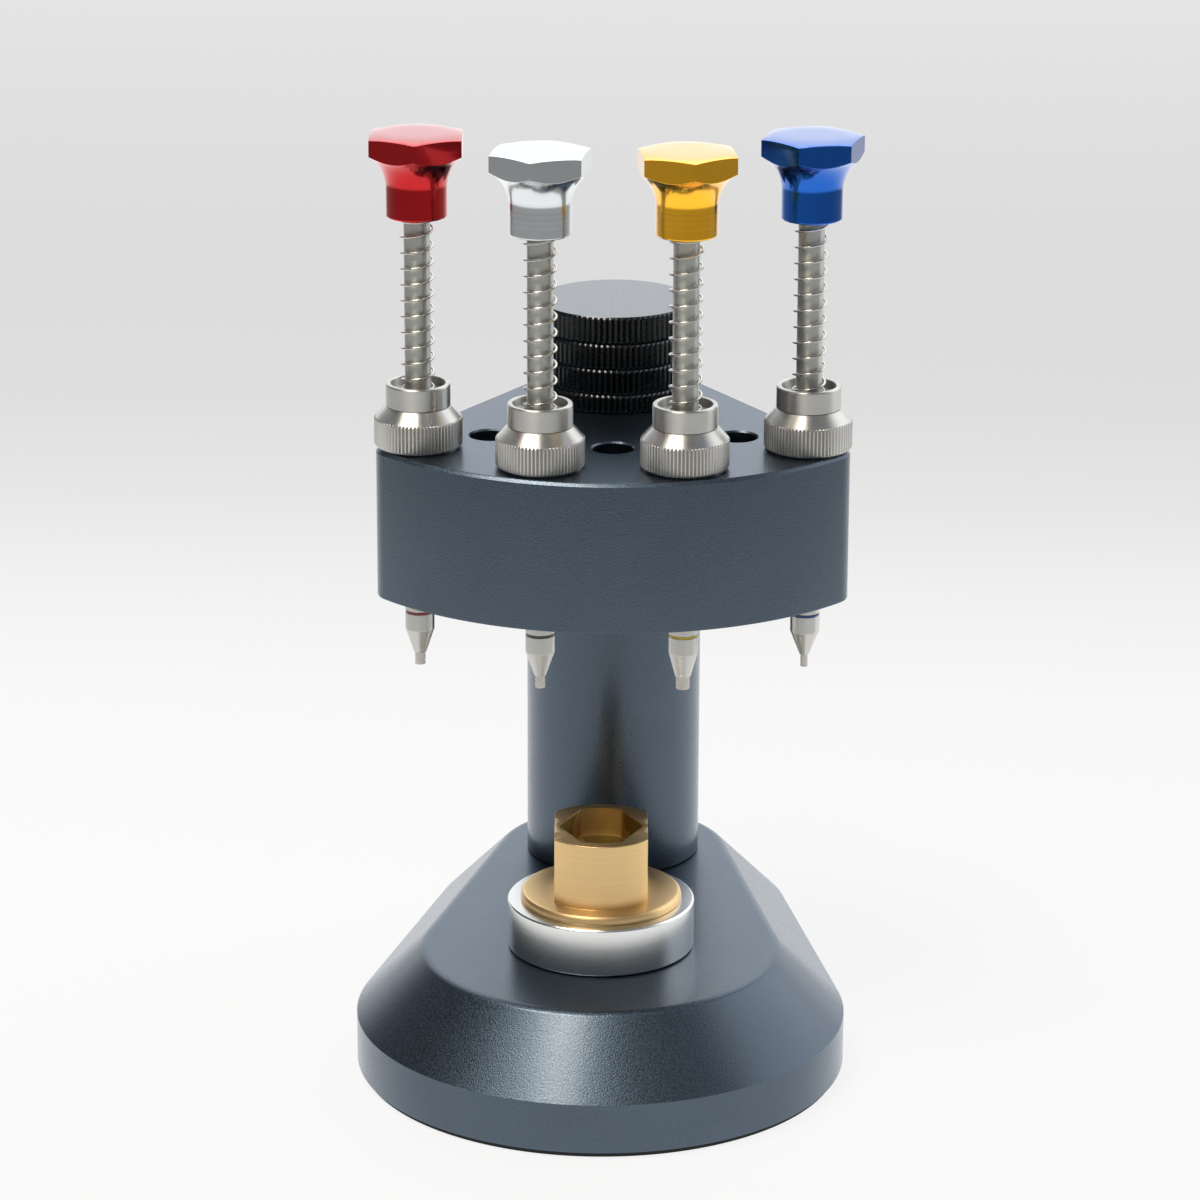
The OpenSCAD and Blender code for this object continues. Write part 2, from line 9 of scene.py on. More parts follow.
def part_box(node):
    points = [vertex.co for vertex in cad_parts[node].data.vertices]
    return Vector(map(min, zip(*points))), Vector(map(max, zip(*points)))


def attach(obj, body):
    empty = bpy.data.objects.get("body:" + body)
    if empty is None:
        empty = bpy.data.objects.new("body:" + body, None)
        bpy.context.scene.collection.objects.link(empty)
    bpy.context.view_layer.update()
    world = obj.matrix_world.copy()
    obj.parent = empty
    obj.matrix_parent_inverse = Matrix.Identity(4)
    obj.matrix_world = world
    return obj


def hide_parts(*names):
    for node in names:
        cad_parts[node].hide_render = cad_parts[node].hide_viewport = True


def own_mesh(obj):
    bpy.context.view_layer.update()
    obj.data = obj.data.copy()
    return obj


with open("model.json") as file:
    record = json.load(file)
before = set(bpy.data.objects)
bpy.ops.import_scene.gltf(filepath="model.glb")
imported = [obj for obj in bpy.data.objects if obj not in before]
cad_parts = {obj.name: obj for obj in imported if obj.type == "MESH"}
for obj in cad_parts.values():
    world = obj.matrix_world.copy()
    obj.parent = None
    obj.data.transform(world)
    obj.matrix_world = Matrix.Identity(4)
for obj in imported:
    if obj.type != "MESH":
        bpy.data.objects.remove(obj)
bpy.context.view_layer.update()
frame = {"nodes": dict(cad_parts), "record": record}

bl_info = {
    "name": "Watch hand fitting tool",
    "version": (1, 0, 0),
    "blender": (4, 5, 0),
    "location": "3D View > Sidebar > Hand tool",
    "description": "Dresses the four-plunger watch hand fitting tool around its packed frame",
    "category": "Add Mesh",
}

MM = 0.001
UP = Vector((0, 0, 1))
COLOURS = ("red", "silver", "gold", "blue")
# Clearances in millimetres: pressed pieces, running pieces, the play between turning faces, and loose holes
PRESS, RUN, PLAY, LOOSE = 0.01, 0.03, 0.05, 0.2


def span(node):
    """Lowest and highest corner of a CAD node, in millimetres."""
    low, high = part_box(node)
    return low / MM, high / MM


def bottom_of(node):
    """Height of a CAD node's lowest point, in millimetres."""
    return span(node)[0].z


def top_of(node):
    """Height of a CAD node's highest point, in millimetres."""
    return span(node)[1].z


def middle(node):
    """Middle of a CAD node in plan, in millimetres."""
    low, high = span(node)
    return Vector(((low.x + high.x) / 2, (low.y + high.y) / 2, 0))


# Settings


def to_linear(hex_colour):
    """An sRGB hex colour as linear light, with an alpha of 1."""
    parts = [int(hex_colour[i:i + 2], 16) / 255 for i in (1, 3, 5)]
    return (*(c / 12.92 if c <= 0.04045 else ((c + 0.055) / 1.055) ** 2.4 for c in parts), 1.0)


def length(name, description, mm):
    """A length in metres, with its default in millimetres."""
    return bpy.props.FloatProperty(
        name=name, description=description, default=mm * MM, min=0, precision=5,
        subtype="DISTANCE", unit="LENGTH",
    )


def angle(name, description, degrees):
    """An angle, with its default in degrees."""
    return bpy.props.FloatProperty(
        name=name, description=description, default=radians(degrees), subtype="ANGLE", unit="ROTATION",
    )


def paint(name, description, hex_colour):
    """A colour, with its default as sRGB hex."""
    return bpy.props.FloatVectorProperty(
        name=name, description=description, default=to_linear(hex_colour), size=4, min=0, max=1,
        subtype="COLOR",
    )


class StandSizes(bpy.types.PropertyGroup):
    """Sizes of the base and head"""

    wall_height: length("Wall height", "Height of the base's upright wall above the bench", 8.7)
    front_radius: length("Front radius", "Radius of the base's round front end", 38.1)
    back_radius: length("Back radius", "Radius of the base's round back end", 28.6)
    front_distance: length("Front distance", "From the column to the centre of the round front end", 42.8)
    slope_run: length("Slope run", "How far the base's sloping side runs inwards", 10.6)
    base_break: length("Base edge break", "Rounding of the base's upper edges", 0.8)
    foot_break: length("Foot edge break", "Rounding of the lower edges of base and head", 0.3)
    column_radius: length("Column radius", "Radius of the round column", 14)
    head_radius: length("Head radius", "Radius of the head's curved front", 46.7)
    head_front: length("Head front distance", "From the column to the centre of that curve", 3.5)
    head_back: length("Head back radius", "Radius of the head's round back", 15.6)
    head_corner: length("Head corner", "Radius of the head's two front corners", 4.6)
    head_chamfer: length("Head chamfer", "Chamfer round the head's top", 0.5)
    head_side_angle: angle("Head side angle", "Angle between the head's middle and each straight side", 31.3)
    head_turn: angle("Head turn", "How far the head stands turned on its column", 2)
    hole_radius: length("Storage hole radius", "Radius of the three blind holes in the head's top", 3.2)
    hole_reach: length("Storage hole reach", "From the column to those holes", 30.6)
    hole_step: angle("Storage hole step", "Angle from one storage hole to the next", 38.5)


class PlungerSizes(bpy.types.PropertyGroup):
    """Sizes of the four plungers"""

    knob_flats: length("Knob width", "Width of the knob across its flats", 14)
    flare_radius: length("Flare radius", "Radius of the curve between the knob's neck and its rim", 6.5)
    neck_radius: length("Neck radius", "Radius of the knob's neck", 4.7)
    neck_height: length("Neck height", "Height of the knob's neck", 4.8)
    shaft_radius: length("Shaft radius", "Radius of the plunger shaft", 2)
    holder_radius: length("Tip holder radius", "Radius of the turned tip holder", 2.28)
    wire_radius: length("Wire radius", "Radius of the spring wire", 0.2)
    coil_radius: length("Coil radius", "From the spring's axis to the middle of its wire", 2.45)
    nut_radius: length("Nut radius", "Radius of the adjusting nuts over their knurl", 6.8)
    knurl_depth: length("Nut knurl depth", "Depth of the knurl on the adjusting nuts", 0.22)
    nut_ridges: bpy.props.IntProperty(
        name="Nut ridges", description="Ridges round each nut", default=72, min=12,
    )
    spring_turns: bpy.props.FloatProperty(
        name="Spring turns", description="Working turns of each spring", default=10.5,
    )


class Finishes(bpy.types.PropertyGroup):
    """Colours of the finishes"""

    slate: paint("Slate", "Anodised base, column and head", "#45525f")
    black: paint("Black", "Anodised ring stack", "#1c2226")
    steel: paint("Steel", "Polished anvil disc", "#e2e3e1")
    shaft: paint("Shaft", "Ground plunger shafts", "#c6c7c1")
    nickel: paint("Nickel", "Nickel-plated nuts and sleeves", "#c9c8c3")
    brass: paint("Brass", "Movement support", "#dfbf8a")
    red: paint("Red", "Anodised knob", "#ba0a14")
    silver: paint("Silver", "Clear anodised knob", "#d2d6d8")
    gold: paint("Gold", "Anodised knob", "#fab922")
    blue: paint("Blue", "Anodised knob", "#005aba")


# Materials


def add(tree, kind, settings=None, links=None):
    """Adds a shader node. A setting goes to the input of that name or number, or else to the node itself."""
    node = tree.nodes.new("ShaderNode" + kind)
    for key, value in (settings or {}).items():
        if isinstance(key, int) or key in node.inputs:
            node.inputs[key].default_value = value
        else:
            setattr(node, key, value)
    for key, source in (links or {}).items():
        tree.links.new(source, node.inputs[key])
    return node


def blank(name):
    """A material with only its output, and that output."""
    made = bpy.data.materials.new(name)
    made.use_nodes = True
    made.node_tree.nodes.clear()
    return made, made.node_tree, add(made.node_tree, "OutputMaterial")


def in_mm(tree):
    """Object coordinates in millimetres."""
    coords = add(tree, "TexCoord").outputs["Object"]
    return add(tree, "Mapping", {"Scale": [1 / MM] * 3}, {"Vector": coords}).outputs["Vector"]


def tinted(tree, factor, colour, darker, lighter):
    """Runs from a darker to a lighter form of one colour."""
    ends = [tuple(min(1, c * k) for c in colour[:3]) + (1,) for k in (darker, lighter)]
    mix = add(tree, "Mix", {"data_type": "RGBA"}, {"Factor": factor})
    mix.inputs[6].default_value, mix.inputs[7].default_value = ends
    return mix.outputs[2]


def blasted_anodised(name, colour, roughness, film):
    """Aluminium, bead blasted, then dyed and anodised: dull and even, with a fine sparkle of dents."""
    made, tree, out = blank(name)
    # The beads' dents are about 0.1 mm wide, drawn a little wider so that the render shows them
    dents = add(tree, "TexNoise", {"Scale": 4.0, "Detail": 1.0}, {"Vector": in_mm(tree)}).outputs["Fac"]
    # The dye takes unevenly over some 15 mm
    cloud = add(tree, "TexNoise", {"Scale": 0.07, "Detail": 2.0}, {"Vector": in_mm(tree)}).outputs["Fac"]
    patch = add(tree, "Math", {"operation": "MULTIPLY_ADD", 1: 0.25}, {0: cloud, 2: dents}).outputs["Value"]
    bump = add(tree, "Bump", {"Strength": 0.8, "Distance": 0.05 * MM}, {"Height": dents}).outputs["Normal"]
    depth = add(tree, "MapRange", {"From Min": 0.42, "From Max": 0.83}, {"Value": patch}).outputs["Result"]
    rough = add(tree, "MapRange", {
        "From Min": 0.3, "From Max": 0.7, "To Min": roughness - 0.1, "To Max": roughness + 0.1,
    }, {"Value": dents}).outputs["Result"]
    # The clear oxide film over the dye makes level faces pale at low angles
    surface = add(tree, "BsdfPrincipled", {
        "Metallic": 1.0, "Coat Weight": film, "Coat Roughness": 0.2, "Specular Tint": to_linear("#f0f5fa"),
    }, {
        "Base Color": tinted(tree, depth, colour, 0.82, 1.18),
        "Roughness": rough,
        "Normal": bump,
    })
    tree.links.new(surface.outputs["BSDF"], out.inputs["Surface"])
    return made


def turned_metal(name, colour, roughness, feed, contrast, drawn_out, depth=0.001, coat=0.0, painted_shade=None):
    """Metal finished on a lathe: rings as far apart as the feed, and a shine drawn out across them."""
    made, tree, out = blank(name)
    lathe = add(tree, "TexCoord").outputs["UV"]
    rings = add(tree, "TexNoise", {
        "noise_dimensions": "2D", "Scale": 1 / feed, "Detail": 2.0, "Roughness": 0.6,
    }, {"Vector": lathe}).outputs["Fac"]
    # Handling and cleaning leave dull clouds of a few millimetres
    cloud = add(tree, "TexNoise", {"Scale": 0.35, "Detail": 3.0}, {"Vector": in_mm(tree)}).outputs["Fac"]
    both = add(tree, "Math", {"operation": "MULTIPLY_ADD", 1: 0.5}, {0: cloud, 2: rings}).outputs["Value"]
    bump = add(tree, "Bump", {"Strength": 0.6, "Distance": depth * MM}, {"Height": rings}).outputs["Normal"]
    around = add(tree, "Attribute", {"attribute_name": "around"}).outputs["Vector"]
    tangent = add(tree, "VectorTransform", {
        "vector_type": "VECTOR", "convert_from": "OBJECT", "convert_to": "WORLD",
    }, {"Vector": around}).outputs["Vector"]
    level = add(tree, "MapRange", {"From Min": 0.5, "From Max": 1.0}, {"Value": both}).outputs["Result"]
    rough = add(tree, "MapRange", {
        "To Min": roughness - contrast / 2, "To Max": roughness + contrast / 2,
    }, {"Value": level}).outputs["Result"]
    shade = tinted(tree, level, colour, 1 - contrast, 1 + contrast)
    if painted_shade:
        # Within a radius and between two heights a darker, duller colour is painted in: the shade inside a
        # hollow
        radius, bottom, top, painted_shade_colour = painted_shade
        reach, height, _ = add(tree, "SeparateXYZ", links={"Vector": lathe}).outputs
        near, below, above = (
            add(tree, "Math", {"operation": test, 1: limit}, {0: measure}).outputs[0]
            for test, measure, limit in (
                ("LESS_THAN", reach, radius), ("LESS_THAN", height, top), ("GREATER_THAN", height, bottom),
            )
        )
        inside = add(tree, "Math", {"operation": "MULTIPLY"}, {0: near, 1: below}).outputs[0]
        inside = add(tree, "Math", {"operation": "MULTIPLY"}, {0: inside, 1: above}).outputs[0]
        mix = add(tree, "Mix", {"data_type": "RGBA", 7: to_linear(painted_shade_colour)}, {"Factor": inside, 6: shade})
        shade = mix.outputs[2]
    surface = add(tree, "BsdfPrincipled", {
        "Metallic": 1.0, "Coat Weight": coat, "Coat Roughness": 0.08, "Coat IOR": 1.32,
        "Anisotropic": drawn_out, "Anisotropic Rotation": 0.25,
    }, {
        "Tangent": tangent,
        "Base Color": shade,
        "Roughness": rough,
        "Normal": bump,
    })
    tree.links.new(surface.outputs["BSDF"], out.inputs["Surface"])
    return made


def drawn_or_cut(name, colour, metallic, roughness, grain=0.4, contrast=0.1, depth=0.01):
    """A plain small part: drawn, machined, moulded, lacquered or cut from sheet, with its grain in mm."""
    made, tree, out = blank(name)
    place = in_mm(tree)
    speck = add(tree, "TexNoise", {"Scale": 1 / grain, "Detail": 3.0}, {"Vector": place}).outputs["Fac"]
    bump = add(tree, "Bump", {"Strength": 0.4, "Distance": depth * MM}, {"Height": speck}).outputs["Normal"]
    level = add(tree, "MapRange", {"From Min": 0.3, "From Max": 0.7}, {"Value": speck}).outputs["Result"]
    rough = add(tree, "MapRange", {
        "To Min": roughness - 0.05, "To Max": roughness + 0.05,
    }, {"Value": level}).outputs["Result"]
    surface = add(tree, "BsdfPrincipled", {"Metallic": metallic}, {
        "Base Color": tinted(tree, level, to_linear(colour), 1 - contrast, 1 + contrast),
        "Roughness": rough,
        "Normal": bump,
    })
    tree.links.new(surface.outputs["BSDF"], out.inputs["Surface"])
    return made


FINISH = {}


def make_finishes(f):
    """Every finish, under its slot's name."""
    # The support's pocket lies within this radius, between its floor and just below the top, and its shade
    # is painted there in this darker, duller brass
    pocket = (7.15, 30, top_of("movement_support") - 0.2, "#a3924e")
    FINISH.update({
        "slate_anodised": blasted_anodised("slate_anodised_aluminium", f.slate, 0.38, film=0.5),
        "black_anodised": blasted_anodised("black_anodised_aluminium", f.black, 0.3, film=1.0),
        # Hardened and ground, then polished: the rings are hardly seen
        "ground_steel": turned_metal(
            "ground_tool_steel", f.steel, 0.22, feed=0.3, contrast=0.02, drawn_out=0.6, depth=0.0001,
        ),
        # Ground between wheels: fine rings round the rod draw the lamp out into an upright streak
        "shaft_steel": turned_metal(
            "centreless_ground_rod", f.shaft, 0.5, feed=0.3, contrast=0.02, drawn_out=0.9, depth=0.0001,
        ),
        # Nickel plate keeps the tool's marks below it, and is warmer than steel
        "nickel_steel": turned_metal(
            "nickel_plated_turned_steel", f.nickel, 0.38, feed=0.16, contrast=0.05, drawn_out=0.9,
        ),
        # Turned with a fine feed and left as it is: a soft warm shine, with painted shade inside the pocket
        "brass": turned_metal(
            "turned_brass", f.brass, 0.4, feed=0.2, contrast=0.04, drawn_out=0.5, painted_shade=pocket,
        ),
        # Free-cutting steel as it comes from the lathe
        "zinc_steel": drawn_or_cut("machined_steel", "#9b9c9e", 1.0, 0.35),
        # Sintered bearing bronze, dark with oil
        "bronze": drawn_or_cut("sintered_bronze", "#a87a44", 1.0, 0.45, grain=0.2),
        # Hard drawn wire, bright, with its die marks
        "spring_steel": drawn_or_cut("drawn_spring_wire", "#c4c2bc", 1.0, 0.22, grain=0.3, depth=0.004),
        # Acetal, turned: white tips that look grey where they are thin
        "nose_plastic": drawn_or_cut("turned_acetal", "#e8e5df", 0.0, 0.42, grain=0.25, contrast=0.06),
        # Acetal again, dyed black right through
        "black_plastic": drawn_or_cut("black_acetal", "#1c1c1e", 0.0, 0.45),
        # Nitrile sheet, matt, with a fine sanded face
        "rubber": drawn_or_cut(
            "nitrile_rubber_sheet", "#151617", 0.0, 0.75, grain=0.3, contrast=0.2, depth=0.03,
        ),
    })
    bands = {"red": "#8f2026", "silver": "#3f4242", "gold": "#c9b21c", "blue": "#173a86"}
    for name in COLOURS:
        # Dyed and sealed after turning: metal under a clear film, with a pale sheen at low angles
        FINISH[name + "_anodised"] = turned_metal(
            name + "_anodised_aluminium", getattr(f, name), 0.19, feed=0.14, contrast=0.05, drawn_out=0.5,
            coat=1.0,
        )
        # Stoving lacquer wiped into a groove
        FINISH[name + "_band"] = drawn_or_cut(
            name + "_lacquer", bands[name], 0.0, 0.3, grain=0.3, contrast=0.12,
        )


# Shapes


def lathe_coordinates(bm, centre):
    """Writes each corner's radius and height in mm as UV, and the way that the tool's marks run there."""
    rings, around = bm.loops.layers.uv.new("lathe"), bm.loops.layers.float_vector.new("around")
    flats = bm.faces.layers.int.get("flats")
    for face in bm.faces:
        # A milled flat has its marks upright
        milled = flats is not None and face[flats]
        along = face.normal.cross(UP).normalized()
        for corner in face.loops:
            p = corner.vert.co - centre
            corner[rings].uv = (p.dot(along), 0) if milled else (hypot(p.x, p.y), p.z)
            corner[around] = UP if milled else Vector((-p.y, p.x, 0)).normalized()


def shell(bm, name, centre=Vector((0, 0, 0)), sharp=30):
    """Closes a mesh made in millimetres and makes it an object at the origin, in metres."""
    bmesh.ops.remove_doubles(bm, verts=bm.verts, dist=0.0005)
    bmesh.ops.dissolve_degenerate(bm, edges=bm.edges, dist=0.0005)
    bmesh.ops.recalc_face_normals(bm, faces=bm.faces)
    lathe_coordinates(bm, centre)
    bmesh.ops.scale(bm, vec=(MM, MM, MM), verts=bm.verts)
    mesh = bpy.data.meshes.new(name)
    bm.to_mesh(mesh)
    bm.free()
    mesh.shade_smooth()
    mesh.set_sharp_from_angle(angle=radians(sharp))
    made = bpy.data.objects.new(name, mesh)
    bpy.context.scene.collection.objects.link(made)
    return made


def fit(made, slot, body, *nodes, weighted=True, finish=None):
    """Gives a piece its finish and its body, and hides the CAD nodes that it stands for."""
    made.data.materials.append(FINISH[finish or slot])
    if weighted:
        made.modifiers.new("Flat faces stay flat", "WEIGHTED_NORMAL").keep_sharp = True
    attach(made, body)
    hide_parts(*nodes)
    return made


def polyline(bm, profile, closed):
    """Edges through (radius, height) or (radius, height, rounding) points. A rounded corner is an arc."""
    verts = [bm.verts.new((p[0], 0, p[1])) for p in profile]
    for pair in zip(verts, verts[1:] + verts[:1] if closed else verts[1:]):
        bm.edges.new(pair)
    for size in sorted({p[2] for p in profile if len(p) > 2}):
        corners = [v for v, p in zip(verts, profile) if len(p) > 2 and p[2] == size]
        bmesh.ops.bevel(
            bm, geom=corners, offset=size, offset_type="OFFSET", segments=3, profile=0.5,
            affect="VERTICES", material=-1, clamp_overlap=True,
        )


def turned(profile, at=Vector((0, 0, 0)), steps=96, closed=False):
    """A turned shape in millimetres. A profile that isn't closed usually starts and ends on the axis."""
    bm = bmesh.new()
    polyline(bm, profile, closed)
    bmesh.ops.spin(
        bm, geom=bm.verts[:] + bm.edges[:], cent=(0, 0, 0), axis=UP, angle=tau, steps=steps, use_merge=True,
    )
    bmesh.ops.remove_doubles(bm, verts=bm.verts, dist=0.0005)
    bmesh.ops.translate(bm, vec=at, verts=bm.verts)
    return bm


def knurl(bm, ridges, root, at, low, high):
    """Presses a notch between each two ridges of a turned shape that has three steps to a ridge."""
    for v in bm.verts:
        p = v.co - at
        radius = hypot(p.x, p.y)
        turn = atan2(p.y, p.x) / tau * ridges
        if radius > root and low < p.z < high and abs(turn - round(turn)) < 0.1:
            v.co.x, v.co.y = at.x + p.x * root / radius, at.y + p.y * root / radius


def arc(bm, start, centre, sweep, steps):
    """Carries an outline on from a vertex along an arc, and returns the arc's last vertex."""
    made = bmesh.ops.spin(
        bm, geom=[start], cent=centre, axis=UP, angle=sweep, steps=steps, use_merge=False,
    )
    return next(g for g in made["geom_last"] if isinstance(g, bmesh.types.BMVert))


def line(bm, start, point):
    """Carries an outline on from a vertex to a point, and returns the new vertex."""
    end = bm.verts.new(point)
    bm.edges.new((start, end))
    return end


def close_outline(bm, first, last):
    """Joins an outline's ends and fills it with one face."""
    bm.edges.new((last, first))
    bmesh.ops.remove_doubles(bm, verts=bm.verts, dist=0.0005)
    return bmesh.ops.contextual_create(bm, geom=bm.edges[:])["faces"][0]


def extruded(bm, faces, height):
    """Extrudes faces upwards and returns the new ones at the top. The old ones stay where they are."""
    made = bmesh.ops.extrude_face_region(bm, geom=faces)["geom"]
    corners = [g for g in made if isinstance(g, bmesh.types.BMVert)]
    bmesh.ops.translate(bm, vec=(0, 0, height), verts=corners)
    return [g for g in made if isinstance(g, bmesh.types.BMFace)]


def raise_face(bm, face, height, inset=0.0):
    """Extrudes a face upwards and then draws its outline in, and returns the face at the top."""
    face, = extruded(bm, [face], height)
    if inset:
        draw_in(face, inset)
    return face


def draw_in(face, inset):
    """Moves a face's corners inwards, each by the same distance from its two sides."""
    corners = [loop.vert for loop in face.loops]
    up = UP if face.normal.z >= 0 else -UP
    moves = []
    for i, v in enumerate(corners):
        before, after = corners[i - 1].co, corners[(i + 1) % len(corners)].co
        side = up.cross((v.co - before).normalized())
        inward = (side + up.cross((after - v.co).normalized())).normalized()
        moves.append(inward * inset / max(0.2, inward.dot(side)))
    for v, move in zip(corners, moves):
        v.co += move


def break_edges(bm, size, segments, least=20, keep=lambda edge: True):
    """Rounds the edges that are sharper than an angle in degrees."""
    bm.normal_update()
    edges = [
        e for e in bm.edges
        if len(e.link_faces) == 2 and e.calc_face_angle(0) > radians(least) and keep(e)
    ]
    bmesh.ops.bevel(
        bm, geom=edges, offset=size, offset_type="OFFSET", segments=segments, profile=0.5,
        affect="EDGES", material=-1, clamp_overlap=True,
    )


def lowest(edge):
    """Height of an edge's lower end."""
    return min(v.co.z for v in edge.verts)


def solid(bm):
    """A temporary object from a mesh."""
    mesh = bpy.data.meshes.new("temporary")
    bmesh.ops.recalc_face_normals(bm, faces=bm.faces)
    bm.to_mesh(mesh)
    bm.free()
    made = bpy.data.objects.new("temporary", mesh)
    bpy.context.scene.collection.objects.link(made)
    return made


def cut(bm, *cutters):
    """Takes the cutters out of a shape and returns what is left."""
    block = solid(bm)
    tools = [solid(c) for c in cutters]
    for tool in tools:
        change = block.modifiers.new("Cut", "BOOLEAN")
        change.object, change.operation, change.solver = tool, "DIFFERENCE", "EXACT"
    bpy.context.view_layer.update()
    done = block.evaluated_get(bpy.context.evaluated_depsgraph_get())
    left = bmesh.new()
    left.from_mesh(done.to_mesh())
    done.to_mesh_clear()
    for old in (block, *tools):
        mesh = old.data
        bpy.data.objects.remove(old)
        bpy.data.meshes.remove(mesh)
    return left


def hole(radius, low, high, at=Vector((0, 0, 0)), mouth=0.0, steps=64):
    """A cutter for a round hole, wider by mouth at its top, where it opens a chamfer."""
    past = 0.6
    wall = [(radius, high + past)]
    if mouth:
        wall = [(radius, high - mouth), (radius + mouth + past, high + past)]
    return turned([(0, low), (radius, low), *wall, (0, high + past)], at, steps)


def box(size, at):
    """A block with a middle, in millimetres."""
    bm = bmesh.new()
    bmesh.ops.create_cube(bm, size=1)
    bmesh.ops.scale(bm, vec=size, verts=bm.verts)
    bmesh.ops.translate(bm, vec=at, verts=bm.verts)
    return bm


def about(sweep, axis="Z"):
    """A turn about an axis through the origin."""
    return Matrix.Rotation(sweep, 3, axis)


def rotated(bm, matrix):
    """Turns a mesh about the origin."""
    bmesh.ops.rotate(bm, cent=(0, 0, 0), matrix=matrix, verts=bm.verts)
    return bm


# Pieces


class HANDTOOL_OT_base(bpy.types.Operator):
    """Make the base, its rubber pad and the column"""

    bl_idname = "handtool.base"
    bl_label = "Base and column"

    def plan(self, s, inset, z):
        """The drop-shaped outline of the base at a height, drawn in by a distance."""
        front, back, far = s.front_radius / MM, s.back_radius / MM, s.front_distance / MM
        lean = atan2(front - back, sqrt(far ** 2 - (front - back) ** 2))
        way = Vector((cos(lean), sin(lean), 0))
        bm = bmesh.new()
        first = bm.verts.new(Vector((0, -far, z)) + way * (front - inset))
        last = arc(bm, first, (0, -far, z), -(pi + 2 * lean), 96)
        last = line(bm, last, Vector((-way.x, way.y, 0)) * (back - inset) + UP * z)
        last = arc(bm, last, (0, 0, z), -(pi - 2 * lean), 64)
        return bm, close_outline(bm, first, last)

    def execute(self, context):
        s = context.scene.handtool_stand
        low, high = bottom_of("base_block"), top_of("base_block")
        wall, edge = s.wall_height / MM, s.foot_break / MM
        bm, face = self.plan(s, 0, low)
        face = raise_face(bm, face, wall - low)
        raise_face(bm, face, high - wall, s.slope_run / MM)
        break_edges(bm, s.base_break / MM, 4, keep=lambda e: lowest(e) > low + 1)
        break_edges(bm, edge, 2, least=60)
        spigot, neck, stud = 10, 8, 4
        # The column's screw comes up from below, with its head sunk in the base, into the spigot's hole
        screw, screw_head, screw_seat = 4, 7, 9.3
        anvil, pivot, washer = middle("anvil_disc"), 4, 9
        bm = cut(
            bm,
            hole(spigot + PRESS, bottom_of("column") - PLAY, high),
            hole(screw + LOOSE, low - 1, 15),
            hole(screw_head + LOOSE, low - 1, screw_seat),
            hole(pivot + PRESS, bottom_of("pivot_stud") - PLAY, high, anvil),
            hole(washer + LOOSE, bottom_of("thrust_washer") - PLAY, high, anvil),
        )
        fit(shell(bm, "base"), "slate_anodised", "stand", "base_block")

        pad_inset, pad_edge = 0.7, 0.12
        bm, face = self.plan(s, pad_inset, 0)
        raise_face(bm, face, low)
        break_edges(bm, pad_edge, 2, least=60)
        fit(shell(bm, "base_rubber_pad"), "rubber", "stand", "base_pad")

        radius = s.column_radius / MM
        z0, top = bottom_of("column"), top_of("column")
        shoulder, neck_top = bottom_of("head_washer"), top_of("head_block") - PLAY
        thread, thread_end = stud + PRESS, 34.25
        click = (bottom_of("detent_ball") + top_of("detent_ball")) / 2
        bm = turned([
            (thread, z0), (spigot, z0, 0.3), (spigot, high), (radius, high, 0.35), (radius, shoulder, 0.4),
            (neck, shoulder), (neck, click - 0.6), (neck - 0.55, click), (neck, click + 0.6),
            (neck, neck_top), (stud, neck_top), (stud, top, 0.4), (0, top), (0, thread_end),
            (thread, thread_end),
        ], closed=True, steps=128)
        fit(shell(bm, "round_column"), "slate_anodised", "stand", "column")
        return {"FINISHED"}


